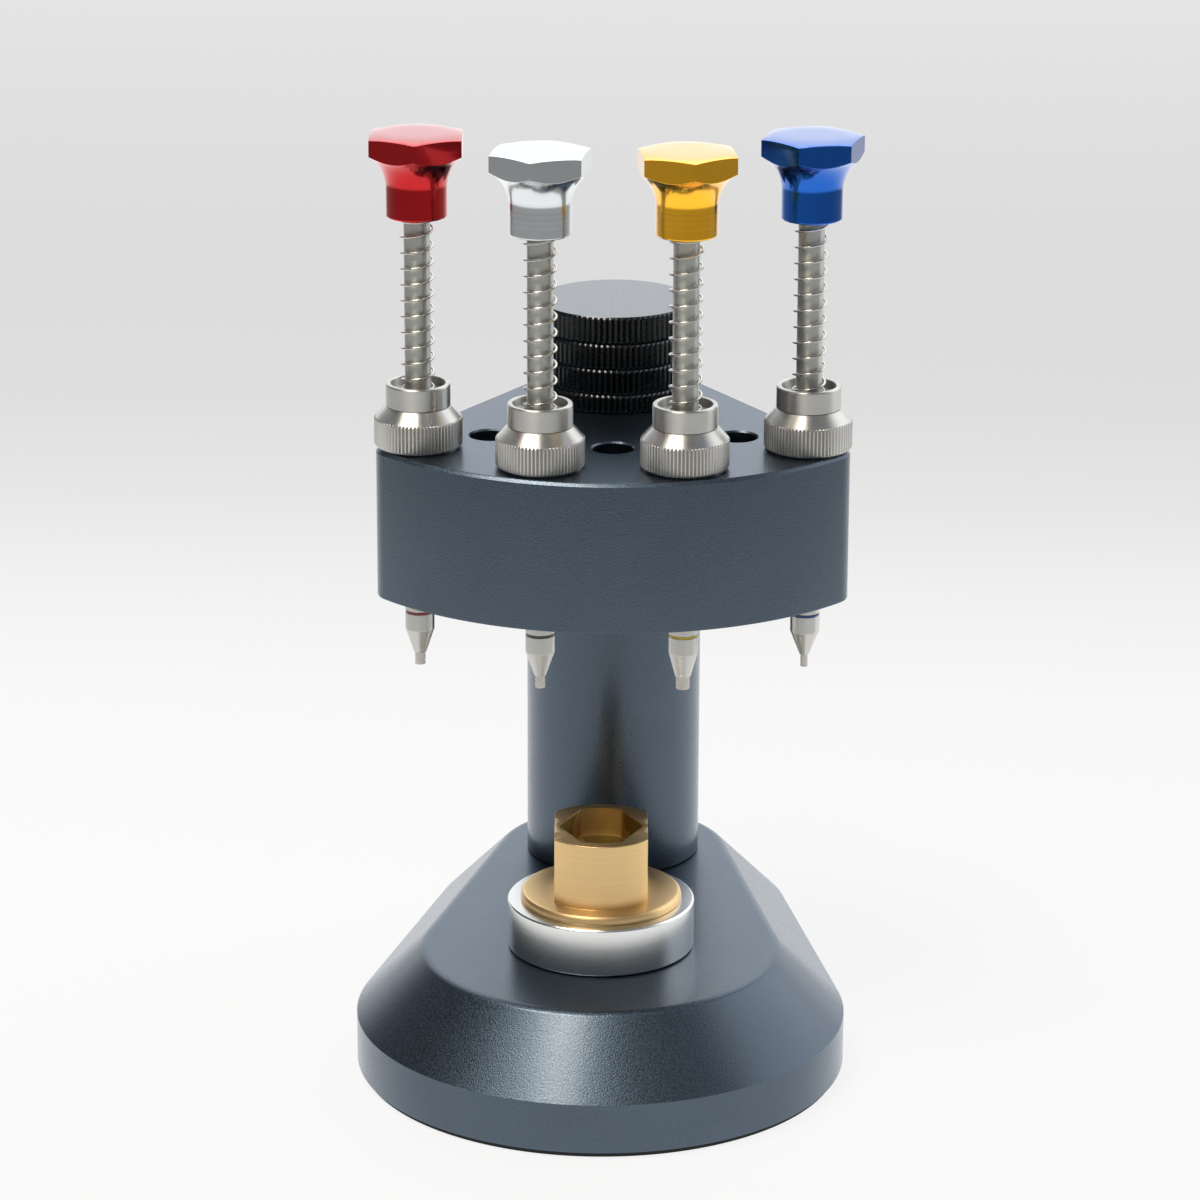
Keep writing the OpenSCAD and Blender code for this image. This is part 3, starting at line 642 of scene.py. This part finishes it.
class HANDTOOL_OT_anvil(bpy.types.Operator):
    """Make the turning steel anvil and the brass movement support"""

    bl_idname = "handtool.anvil"
    bl_label = "Anvil and movement support"

    def execute(self, context):
        at = middle("anvil_disc")
        low, high = bottom_of("anvil_disc"), top_of("anvil_disc")
        # The screw stops on the stud, a little above this ledge, so the disc stays free to turn
        ledge = top_of("pivot_stud") - 2 * PLAY
        bore, recess, rim, edge = 3 + RUN, 4.5, 14.5, 0.25
        bm = turned([
            (bore, low), (rim, low, 0.35), (rim, high - edge, 0.06), (rim - edge, high, 0.06),
            (recess, high, 0.1), (recess, ledge), (bore, ledge),
        ], at, 192, closed=True)
        fit(shell(bm, "anvil_disc_polished", at), "ground_steel", "anvil", "anvil_disc")

        at = middle("movement_support")
        low, top = bottom_of("movement_support"), top_of("movement_support")
        spigot, flange_r, boss_r, half_width = recess - RUN, 12.5, 9.5, 7.2
        flange, boss = high + PRESS, high + 1.36
        # A small step where the boss stands on its flange catches the light
        step_r, step_h = 0.12, 0.06
        bm = turned([
            (0, low), (spigot, low, 0.2), (spigot, flange), (flange_r, flange, 0.15), (flange_r, boss, 0.8),
            (boss_r + step_r, boss), (boss_r, boss + step_h), (boss_r, top, 0.16), (0, top),
        ], steps=160)
        # The flats end just above the flange
        flats = [
            box((4, 24, top - boss + 2), (side * (half_width + 2), 0, (top + boss + 2.08) / 2))
            for side in (-1, 1)
        ]
        bm = cut(bm, *flats, self.pocket(top), box((10, 0.45, 5.4), (5.2, 0, top - 1.7)))
        bmesh.ops.remove_doubles(bm, verts=bm.verts, dist=0.001)

        def off_slot(edge):
            return all(abs(v.co.y) > 0.4 or v.co.x < 0 for v in edge.verts)

        break_edges(bm, 0.14, 2, least=40, keep=lambda e: lowest(e) > boss + 0.7 and off_slot(e))
        rotated(bm, about(radians(2.6)))
        bmesh.ops.translate(bm, vec=at, verts=bm.verts)
        fit(shell(bm, "brass_movement_support", at), "brass", "support", "movement_support")
        return {"FINISHED"}

    def pocket(self, top):
        """A cutter for the pocket: round at the front and back, with four flats and rounded side corners."""
        radius, depth, past, to_flat = 7.7, 4.4, 1, 5.95
        bm = bmesh.new()
        bmesh.ops.create_circle(bm, cap_ends=True, radius=radius, segments=128)
        for way in (26, 154, 206, 334):
            normal = about(radians(way)) @ Vector((1, 0, 0))
            bmesh.ops.bisect_plane(
                bm, geom=bm.verts[:] + bm.edges[:] + bm.faces[:], plane_co=normal * to_flat,
                plane_no=normal, clear_outer=True,
            )
        bmesh.ops.dissolve_degenerate(bm, edges=bm.edges, dist=0.001)
        side_corners = [v for v in bm.verts if abs(v.co.y) < 0.01 and abs(v.co.x) > 5]
        bmesh.ops.bevel(
            bm, geom=side_corners, offset=1.3, offset_type="WIDTH", segments=6, profile=0.5,
            affect="VERTICES", material=-1,
        )
        bmesh.ops.translate(bm, vec=(0, 0, top - depth), verts=bm.verts)
        extruded(bm, bm.faces[:], depth + past)
        return bm


class HANDTOOL_OT_head(bpy.types.Operator):
    """Make the fan-shaped head, its guide bushes and the click stop's screw"""

    bl_idname = "handtool.head"
    bl_label = "Head"

    def execute(self, context):
        s = context.scene.handtool_stand
        self.block(s)
        self.bushes()
        self.screw(s)
        return {"FINISHED"}

    def plan(self, s, z):
        """The fan's outline: a curved front, two small corners, two straight sides and a round back."""
        front, back, corner = s.head_radius / MM, s.head_back / MM, s.head_corner / MM
        a, ahead = s.head_side_angle, s.head_front / MM
        side, run = Vector((cos(a), sin(a), 0)), Vector((sin(a), -cos(a), 0))
        across = back - corner + ahead * sin(a)
        along = ahead * cos(a) + sqrt((front - corner) ** 2 - across ** 2)
        centre = side * (back - corner) + run * along
        swing = atan2(centre.x, -centre.y - ahead)
        round_corner = -(pi / 2 - swing + a)
        base_z = UP * z
        bm = bmesh.new()
        first = bm.verts.new(side * back + base_z)
        last = line(bm, first, centre + side * corner + base_z)
        last = arc(bm, last, centre + base_z, round_corner, 10)
        last = arc(bm, last, (0, -ahead, z), -2 * swing, 96)
        last = arc(bm, last, (-centre.x, centre.y, z), round_corner, 10)
        last = line(bm, last, Vector((-side.x, side.y, 0)) * back + base_z)
        last = arc(bm, last, base_z, -(pi - 2 * a), 48)
        return bm, close_outline(bm, first, last)

    def block(self, s):
        """The block with its holes. Each narrow hole from below runs on into the wide one above it."""
        low, high = bottom_of("head_block"), top_of("head_block")
        chamfer = s.head_chamfer / MM
        bm, face = self.plan(s, low)
        face = raise_face(bm, face, high - low - chamfer)
        raise_face(bm, face, chamfer, chamfer)
        break_edges(bm, 0.16, 2, least=25, keep=lambda e: lowest(e) > low + 2)
        break_edges(bm, s.foot_break / MM, 2, least=60)
        bearing, neck, washer, bush = 10, 8, 11.4, 5
        holes = [
            hole(bearing + PRESS, bottom_of("head_bush") - PLAY, high),
            hole(neck + LOOSE, low - 1, 82),
            hole(washer + LOOSE, low - 1, low + 0.9),
        ]
        # The frame's head stands turned already, and this one is turned when it is done
        for name in COLOURS:
            at = about(-s.head_turn) @ middle(name + "_nut")
            holes.append(hole(bush + PRESS, low - 1, high, at))
        for i, depth in zip((-1, 0, 1), (11, 12, 13)):
            at = about(i * s.hole_step) @ Vector((0, -s.hole_reach / MM, 0))
            holes.append(hole(s.hole_radius / MM, high - depth, high, at, mouth=0.25))
        screw_hole = rotated(hole(1.6, 9.5, s.head_back / MM, mouth=0.2, steps=48), about(-pi / 2, "X"))
        bmesh.ops.translate(screw_hole, vec=(0, 0, self.screw_z()), verts=screw_hole.verts)
        bm = rotated(cut(bm, *holes, screw_hole), about(s.head_turn))
        fit(shell(bm, "fan_head"), "slate_anodised", "head", "head_block")

    def screw_z(self):
        """Height of the click stop."""
        return (bottom_of("detent_screw") + top_of("detent_screw")) / 2

    def bushes(self):
        """The four guide bushes, as one mesh."""
        low, top, high = bottom_of("guide_bushes"), top_of("guide_bushes"), top_of("head_block")
        bore, body, spigot, flange, thick = 4 + RUN, 5, 5.18, 6.4, 0.2
        together = bmesh.new()
        for name in COLOURS:
            bush = turned([
                (bore, low), (body, low, 0.2), (body, high), (flange, high), (flange, high + thick, 0.06),
                (spigot, high + thick), (spigot, top, 0.2), (bore, top),
            ], middle(name + "_nut"), 64, closed=True)
            mesh = bpy.data.meshes.new("temporary")
            bush.to_mesh(mesh)
            bush.free()
            together.from_mesh(mesh)
            bpy.data.meshes.remove(mesh)
        fit(shell(together, "guide_bush_set"), "black_anodised", "head", "guide_bushes")

    def screw(self, s):
        """The click stop's screw, with its six-sided socket."""
        radius, long, socket_r, socket_long = 1.58, 2.4, 0.85, 3
        screw = turned([
            (0, 0), (1.45, 0), (radius, 0.15), (radius, long - 0.2), (1.4, long), (0.9, long), (0, long),
        ], steps=48)
        socket = bmesh.new()
        bmesh.ops.create_cone(
            socket, cap_ends=True, segments=6, radius1=socket_r, radius2=socket_r, depth=socket_long,
        )
        bmesh.ops.translate(socket, vec=(0, 0, long + 0.3), verts=socket.verts)
        screw = rotated(cut(screw, socket), about(-pi / 2, "X"))
        reach = hypot(*middle("detent_screw").xy) - long / 2
        bmesh.ops.translate(screw, vec=(0, reach, self.screw_z()), verts=screw.verts)
        rotated(screw, about(s.head_turn))
        fit(shell(screw, "click_stop_screw"), "zinc_steel", "head", "detent_screw")


class HANDTOOL_OT_stack(bpy.types.Operator):
    """Make the three knurled rings and the clamp knob on the stud"""

    bl_idname = "handtool.stack"
    bl_label = "Ring stack"

    def execute(self, context):
        ridges, face, root, rim = 84, 11.95, 12.05, 12.35
        bore, roof_thick = 4 + RUN, 1.2
        # The knurl runs out over each edge in three small steps: (radius, distance from the face)
        edge = [(face - 0.25, 0), (face, 0), (root, 0.1), (rim - 0.06, 0.34), (rim, 0.46)]
        for i, node in enumerate(("lower_ring", "middle_ring", "upper_ring", "clamp_knob")):
            low, high = bottom_of(node), top_of(node)
            side = [(r, low + z) for r, z in edge] + [(r, high - z) for r, z in reversed(edge)]
            if node == "clamp_knob":
                # Closed on top, and open under its roof, where the stud ends
                roof = high - roof_thick
                bm = turned([(bore, roof), (bore, low), *side, (0, high), (0, roof)], steps=ridges * 3)
            else:
                bm = turned([(bore, low), *side, (bore, high)], steps=ridges * 3, closed=True)
            knurl(bm, ridges, root, Vector((0, 0, 0)), low + 0.15, high - 0.15)
            rotated(bm, about(radians(1.7 * i)))
            fit(shell(bm, node + "_knurled", sharp=25), "black_anodised", node, node)
        return {"FINISHED"}


class HANDTOOL_OT_plungers(bpy.types.Operator):
    """Make the four plungers with their knobs, springs, sleeves, nuts and tips"""

    bl_idname = "handtool.plungers"
    bl_label = "Plungers"

    def execute(self, context):
        s = context.scene.handtool_plunger
        knob_turns = {"red": -27.4, "silver": 22.1, "gold": -20.4, "blue": 15.3}
        spring_turns = {"red": 0.4, "silver": 2.2, "gold": 1.1, "blue": 3.4}
        for name in COLOURS:
            at = middle(name + "_shaft")
            self.knob(s, name, at, radians(knob_turns[name]))
            self.rod(s, name, at)
            self.tip(s, name, at)
            self.spring(s, name, at, spring_turns[name])
            self.sleeve(s, name, at)
            self.nut(s, name, at)
        return {"FINISHED"}

    def knob(self, s, name, at, turn):
        """A turned knob with its rim milled to six flats."""
        node = name + "_knob"
        low = bottom_of(node)
        neck, flare, half = s.neck_radius / MM, s.flare_radius / MM, s.knob_flats / MM / 2
        neck_h, height = s.neck_height / MM, top_of(node) - low
        bore, bore_end = s.shaft_radius / MM + PRESS, top_of(name + "_shaft") - low + PLAY
        rim = half / cos(pi / 6) + 0.6
        # The flare leaves the neck at a slight angle, which shows as a crisp line between them
        start = radians(5)
        end = acos(cos(start) - (rim - neck) / flare)
        steps = 14
        curve = []
        for i in range(steps + 1):
            t = start + (end - start) * i / steps
            curve.append((neck + flare * (cos(start) - cos(t)), neck_h + flare * (sin(t) - sin(start))))
        crown = [(rim, 0.62), (7.5, 0.32), (6.3, 0.12), (5, 0.03), (3.4, 0), (0, 0)]
        bm = turned([
            (bore, 0), (neck, 0, 0.3), *curve, *((r, height - drop) for r, drop in crown), (0, bore_end),
            (bore, bore_end),
        ], steps=144, closed=True)
        for k in range(6):
            way = about(turn + radians(30 + 60 * k)) @ Vector((1, 0, 0))
            made = bmesh.ops.bisect_plane(
                bm, geom=bm.verts[:] + bm.edges[:] + bm.faces[:], plane_co=way * half, plane_no=way,
                clear_outer=True, dist=0.0001,
            )
            cut_edges = [g for g in made["geom_cut"] if isinstance(g, bmesh.types.BMEdge)]
            bmesh.ops.contextual_create(bm, geom=cut_edges)
        bmesh.ops.dissolve_degenerate(bm, edges=bm.edges, dist=0.001)
        break_edges(
            bm, 0.13, 2, least=22, keep=lambda e: min(hypot(*v.co.xy) for v in e.verts) > half - 0.5,
        )
        layer = bm.faces.layers.int.new("flats")
        bm.normal_update()
        for face in bm.faces:
            face[layer] = face.calc_area() > 6 and abs(face.normal.z) < 0.02
        bmesh.ops.translate(bm, vec=at + UP * low, verts=bm.verts)
        fit(shell(bm, name + "_hex_knob", at), name + "_anodised", name + "_plunger", node)

    def rod(self, s, name, at):
        """The ground shaft, with a thin tang at its lower end that the tip holder goes on."""
        node = name + "_shaft"
        low, top, shoulder = bottom_of(node), top_of(node), top_of(name + "_tip_holder")
        radius, tang = s.shaft_radius / MM, 1.25
        bm = turned([
            (0, low), (tang, low), (tang, shoulder), (radius, shoulder), (radius, top, 0.15), (0, top),
        ], at, 64)
        made = shell(bm, name + "_ground_shaft", at)
        fit(made, "ground_steel", name + "_plunger", node, finish="shaft_steel")

    def tip(self, s, name, at):
        """The turned tip holder, its colour band and the hollow nose."""
        body, tang, rim = name + "_plunger", 1.25, s.holder_radius / MM
        low, top = bottom_of(name + "_tip_holder"), top_of(name + "_tip_holder")
        tang_low = bottom_of(name + "_shaft")
        nose_low, nose_high = span(name + "_nose")
        nose, nose_seat = (nose_high.x - nose_low.x) / 2, nose_high.z + 0.1
        # The lacquer fills only the middle of its groove
        ends = span(name + "_band")
        band_low, band_high = (end.lerp(sum(ends, Vector()) / 2, 0.4).z for end in ends)
        groove, cone_h = rim - 0.4, 3.9
        bm = turned([
            (0, nose_seat), (nose + PRESS, nose_seat), (nose + PRESS, low), (nose + 0.15, low, 0.06),
            (rim, low + cone_h, 0.12), (rim, band_low, 0.05), (groove, band_low), (groove, band_high),
            (rim, band_high, 0.05), (rim, top, 0.15), (tang + PRESS, top), (tang + PRESS, tang_low),
            (0, tang_low),
        ], at, 64)
        fit(shell(bm, name + "_turned_tip_holder", at), "nickel_steel", body, name + "_tip_holder")

        inner, outer = groove + 0.01, rim - 0.04
        bm = turned([
            (inner, band_low), (outer, band_low, 0.05), (outer, band_high, 0.05), (inner, band_high),
        ], at, 64, closed=True)
        fit(shell(bm, name + "_colour_band", at), name + "_band", body, name + "_band")

        inner = nose / 2
        bm = turned([
            (inner, nose_low.z, 0.04), (nose, nose_low.z, 0.08), (nose, nose_high.z), (inner, nose_high.z),
        ], at, 48, closed=True)
        fit(shell(bm, name + "_hollow_nose", at), "nose_plastic", body, name + "_nose")

    def spring(self, s, name, at, turn):
        """The return spring, with a closed turn at each end."""
        low, high = bottom_of(name + "_spring"), top_of(name + "_spring")
        wire, coil = s.wire_radius / MM, s.coil_radius / MM
        bm = bmesh.new()
        loop = bmesh.ops.create_circle(bm, segments=10, radius=wire)["verts"]
        rotated(bm, about(pi / 2, "X"))
        bmesh.ops.translate(bm, vec=(coil, 0, low + wire), verts=loop)
        per_turn, closing = 28, 2.1 * wire
        rise = (high - low - 2 * wire - 2 * closing) / s.spring_turns
        geom = bm.verts[:] + bm.edges[:]
        for count, pitch in ((1, closing), (s.spring_turns, rise), (1, closing)):
            made = bmesh.ops.spin(
                bm, geom=geom, cent=(0, 0, 0), axis=UP, angle=tau * count, steps=round(per_turn * count),
                dvec=(0, 0, pitch / per_turn), use_merge=False,
            )
            geom = [g for g in made["geom_last"] if not isinstance(g, bmesh.types.BMFace)]
        bmesh.ops.holes_fill(bm, edges=[e for e in bm.edges if e.is_boundary], sides=0)
        rotated(bm, about(turn))
        bmesh.ops.translate(bm, vec=at, verts=bm.verts)
        made = shell(bm, name + "_return_spring", at, sharp=50)
        fit(made, "spring_steel", name + "_sleeve", name + "_spring", weighted=False)
        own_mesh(made)

    def sleeve(self, s, name, at):
        """The sleeve that guides the shaft, with the spring's seat in its cap."""
        node = name + "_sleeve"
        low, top, cap = bottom_of(node), top_of(node), top_of(name + "_nut") + PLAY
        bore, body, cap_r, cup, seat = s.shaft_radius / MM + RUN, 4, 4.98, 4.2, top - 1.3
        bm = turned([
            (bore, low), (body, low, 0.15), (body, cap), (cap_r, cap, 0.12), (cap_r, top, 0.28),
            (cup, top, 0.14), (cup, seat), (bore, seat, 0.2),
        ], at, 96, closed=True)
        fit(shell(bm, name + "_turned_sleeve", at), "nickel_steel", node, node)

    def nut(self, s, name, at):
        """The knurled adjusting nut, with its cone."""
        node = name + "_nut"
        low, top, step = bottom_of(node), top_of(node), top_of("guide_bushes") + PLAY
        ridges, rim = s.nut_ridges, s.nut_radius / MM
        root, knurl_top = rim - s.knurl_depth / MM, low + 4.5
        bore, cone_top, sleeve = 5.18 + PLAY, 5.03, 4 + RUN
        bm = turned([
            (bore, low), (rim - 0.3, low), (root, low + 0.1), (rim - 0.04, low + 0.26), (rim, low + 0.36),
            (rim, knurl_top - 0.24), (rim - 0.04, knurl_top - 0.16), (root, knurl_top),
            (cone_top, top, 0.08), (sleeve, top), (sleeve, step), (bore, step),
        ], at, ridges * 3, closed=True)
        knurl(bm, ridges, root, at, low + 0.12, knurl_top - 0.05)
        fit(shell(bm, name + "_knurled_nut", at, sharp=25), "nickel_steel", node, node)


class HANDTOOL_OT_hidden(bpy.types.Operator):
    """Give the CAD nodes that stay in place their finishes"""

    bl_idname = "handtool.hidden"
    bl_label = "Inner parts"

    def execute(self, context):
        # An inner steel part has no lathe coordinates, so it takes the plain finish
        plain = {"ground_steel": "zinc_steel"}
        slots = {part["node"]: part["material_slot"] for part in frame["record"]["subparts"]}
        for node, made in frame["nodes"].items():
            if not made.hide_render:
                made.data.materials.clear()
                made.data.materials.append(FINISH[plain.get(slots[node], slots[node])])
        return {"FINISHED"}


class HANDTOOL_OT_stage(bpy.types.Operator):
    """Make the floor, lamp, world and camera"""

    bl_idname = "handtool.stage"
    bl_label = "Stage"

    def execute(self, context):
        scene = context.scene
        bm = bmesh.new()
        bmesh.ops.create_grid(bm, x_segments=1, y_segments=1, size=4000)
        floor = shell(bm, "studio_floor")
        floor.data.materials.append(self.paper())
        self.softbox(scene)
        scene.world = self.room()
        scene.view_settings.view_transform = "Standard"
        self.camera(scene)
        return {"FINISHED"}

    def softbox(self, scene):
        """One large softbox overhead, to the front and left."""
        place, aim = Vector((-215, -220, 764)), Vector((0, -75, 14))
        data = bpy.data.lights.new("overhead_softbox", "AREA")
        data.shape, data.size, data.size_y = "RECTANGLE", 430 * MM, 260 * MM
        data.energy, data.color = 4.7, to_linear("#fff6ea")[:3]
        made = bpy.data.objects.new("overhead_softbox", data)
        scene.collection.objects.link(made)
        made.location = place * MM
        made.rotation_mode = "QUATERNION"
        made.rotation_quaternion = (place - aim).to_track_quat("Z", "Y")
        made.visible_camera = False

    def camera(self, scene):
        """The camera fitted to the photo."""
        data = bpy.data.cameras.new("photo_camera")
        data.lens, data.sensor_width = 145.47, 36
        data.clip_start, data.clip_end = 0.05, 20
        camera = bpy.data.objects.new("photo_camera", data)
        scene.collection.objects.link(camera)
        right = Vector((0.998903, 0.046689, 0.003582))
        upward = Vector((-0.017963, 0.311412, 0.950105))
        forward = Vector((-0.043244, 0.949127, -0.311909))
        camera.rotation_mode = "QUATERNION"
        camera.rotation_quaternion = Matrix((right, upward, -forward)).transposed().to_quaternion()
        camera.location = Vector((31.678, -744.571, 306.299)) * MM
        scene.camera = camera

    def room(self):
        """A tall white screen behind the object, a softbox high on its right, and a dark room."""
        world = bpy.data.worlds.new("studio")
        world.use_nodes = True
        tree = world.node_tree
        tree.nodes.clear()
        direction = add(tree, "TexCoord").outputs["Generated"]
        x, y, z = add(tree, "SeparateXYZ", links={"Vector": direction}).outputs
        flat = add(tree, "Mapping", {"Scale": (1, 1, 0)}, {"Vector": direction}).outputs["Vector"]
        heading = add(tree, "VectorMath", {"operation": "NORMALIZE"}, {0: flat}).outputs["Vector"]
        back = add(tree, "SeparateXYZ", links={"Vector": heading}).outputs["Y"]
        # What each share of the light follows, the range in which it changes, and its strength at the ends
        shares = {
            "screen sides": (back, 0.68, 0.86, 0.0, 1.05),
            "screen top": (z, 0.76, 0.86, 1.0, 0.0),
            "screen rise": (z, 0.34, 0.66, 1.0, 1.9),
            "softbox side": (x, 0.48, 0.64, 0.0, 1.5),
            "softbox top": (z, 0.78, 0.9, 1.0, 0.0),
            "softbox front": (y, -0.1, 0.15, 0.0, 1.0),
            "room": (x, -0.5, 0.5, 0.14, 0.3),
        }
        light = {
            share: add(tree, "MapRange", {
                "From Min": start, "From Max": end, "To Min": low, "To Max": high,
            }, {"Value": source}).outputs["Result"]
            for share, (source, start, end, low, high) in shares.items()
        }
        for result, how, a, b in (
            ("screen", "MULTIPLY", "screen sides", "screen top"),
            ("screen", "MULTIPLY", "screen", "screen rise"),
            ("softbox", "MULTIPLY", "softbox side", "softbox top"),
            ("softbox", "MULTIPLY", "softbox", "softbox front"),
            ("all", "MAXIMUM", "screen", "softbox"),
            ("all", "ADD", "all", "room"),
        ):
            light[result] = add(tree, "Math", {"operation": how}, {0: light[a], 1: light[b]}).outputs[0]
        lit = add(tree, "Background", {"Color": to_linear("#fafcff")}, {"Strength": light["all"]})
        seen = add(tree, "Background", {"Color": to_linear("#e6e6e6"), "Strength": 1.0})
        camera_ray = add(tree, "LightPath").outputs["Is Camera Ray"]
        either = add(tree, "MixShader", links={0: camera_ray, 1: lit.outputs[0], 2: seen.outputs[0]})
        tree.links.new(either.outputs[0], add(tree, "OutputWorld").inputs["Surface"])
        return world

    def paper(self):
        """White studio paper: matt and lit, with its pale grey fall-off of light painted as a glow for what
        looks at it, and a painted reflection for polished metal.
        """
        made, tree, out = blank("studio_paper")
        place = in_mm(tree)
        depth = add(tree, "SeparateXYZ", links={"Vector": place}).outputs["Y"]
        # Painted fall-off of the light on the paper along y, in millimetres
        near, far = -150.0, 850.0
        stops = [
            (-100, "#fcfcfc"), (25, "#fdfdfd"), (128, "#fbfbfb"), (190, "#f4f4f4"), (257, "#e8e8e8"),
            (338, "#dfdfdf"), (470, "#dedede"), (664, "#e4e4e4"), (802, "#e9e9e9"),
        ]
        along = add(tree, "MapRange", {"From Min": near, "From Max": far}, {"Value": depth}).outputs[0]
        fall_off = add(tree, "ValToRGB", links={"Fac": along})
        steps = fall_off.color_ramp.elements
        while len(steps) < len(stops):
            steps.new(0.5)
        for step, (y, shade) in zip(steps, stops):
            step.position, step.color = (y - near) / (far - near), to_linear(shade)
        fibre = add(tree, "TexNoise", {"Scale": 0.4, "Detail": 2.0}, {"Vector": place}).outputs["Fac"]
        matt = add(tree, "BsdfPrincipled", {"Roughness": 0.9, "Specular IOR Level": 0.2}, {
            "Base Color": tinted(tree, fibre, to_linear("#e2e2e2"), 0.99, 1.01),
        })
        # Painted reflection: polished metal mirrors the paper's glow 1.34 times as bright near the object,
        # fading to 0.3 from 290 to 425 mm out towards the viewer and at the sides
        ahead = add(tree, "VectorMath", {"operation": "MINIMUM", 1: (10000, 0, 0)}, {0: place}).outputs[0]
        away = add(tree, "VectorMath", {"operation": "LENGTH"}, {0: ahead}).outputs["Value"]
        ends = add(tree, "MapRange", {
            "From Min": 290.0, "From Max": 425.0, "To Min": 1.34, "To Max": 0.3,
        }, {"Value": away}).outputs["Result"]
        path = add(tree, "LightPath").outputs
        glossy = path["Is Glossy Ray"]
        mirrored = add(tree, "Mix", {"A": 1.0}, {"Factor": glossy, "B": ends}).outputs["Result"]
        glow = add(tree, "Emission", links={"Color": fall_off.outputs["Color"], "Strength": mirrored})
        direct = path["Is Camera Ray"]
        for ray in (glossy, path["Is Transmission Ray"]):
            direct = add(tree, "Math", {"operation": "MAXIMUM"}, {0: direct, 1: ray}).outputs[0]
        share = add(tree, "Math", {"operation": "MULTIPLY", 1: 0.88}, {0: direct}).outputs[0]
        mix = add(tree, "MixShader", links={0: share, 1: matt.outputs["BSDF"], 2: glow.outputs[0]})
        tree.links.new(mix.outputs[0], out.inputs["Surface"])
        return made


class HANDTOOL_PT_panel(bpy.types.Panel):
    """Sizes, finishes and steps of the watch hand fitting tool"""

    bl_idname = "HANDTOOL_PT_panel"
    bl_label = "Watch hand fitting tool"
    bl_space_type = "VIEW_3D"
    bl_region_type = "UI"
    bl_category = "Hand tool"

    def draw(self, context):
        for name in GROUPS:
            group = getattr(context.scene, name)
            column = self.layout.box()
            for setting in group.__annotations__:
                column.prop(group, setting)
        for step in STEPS:
            self.layout.operator(step.bl_idname)


STEPS = (
    HANDTOOL_OT_base, HANDTOOL_OT_anvil, HANDTOOL_OT_head, HANDTOOL_OT_stack, HANDTOOL_OT_plungers,
    HANDTOOL_OT_hidden, HANDTOOL_OT_stage,
)
GROUPS = {"handtool_stand": StandSizes, "handtool_plunger": PlungerSizes, "handtool_finish": Finishes}
CLASSES = (*GROUPS.values(), *STEPS, HANDTOOL_PT_panel)


def register():
    for made in CLASSES:
        bpy.utils.register_class(made)
    for name, group in GROUPS.items():
        setattr(bpy.types.Scene, name, bpy.props.PointerProperty(type=group))


def unregister():
    for name in GROUPS:
        delattr(bpy.types.Scene, name)
    for made in reversed(CLASSES):
        bpy.utils.unregister_class(made)


def main():
    register()
    make_finishes(bpy.context.scene.handtool_finish)
    for step in STEPS:
        family, name = step.bl_idname.split(".")
        getattr(getattr(bpy.ops, family), name)()


if __name__ == "__main__":
    main()
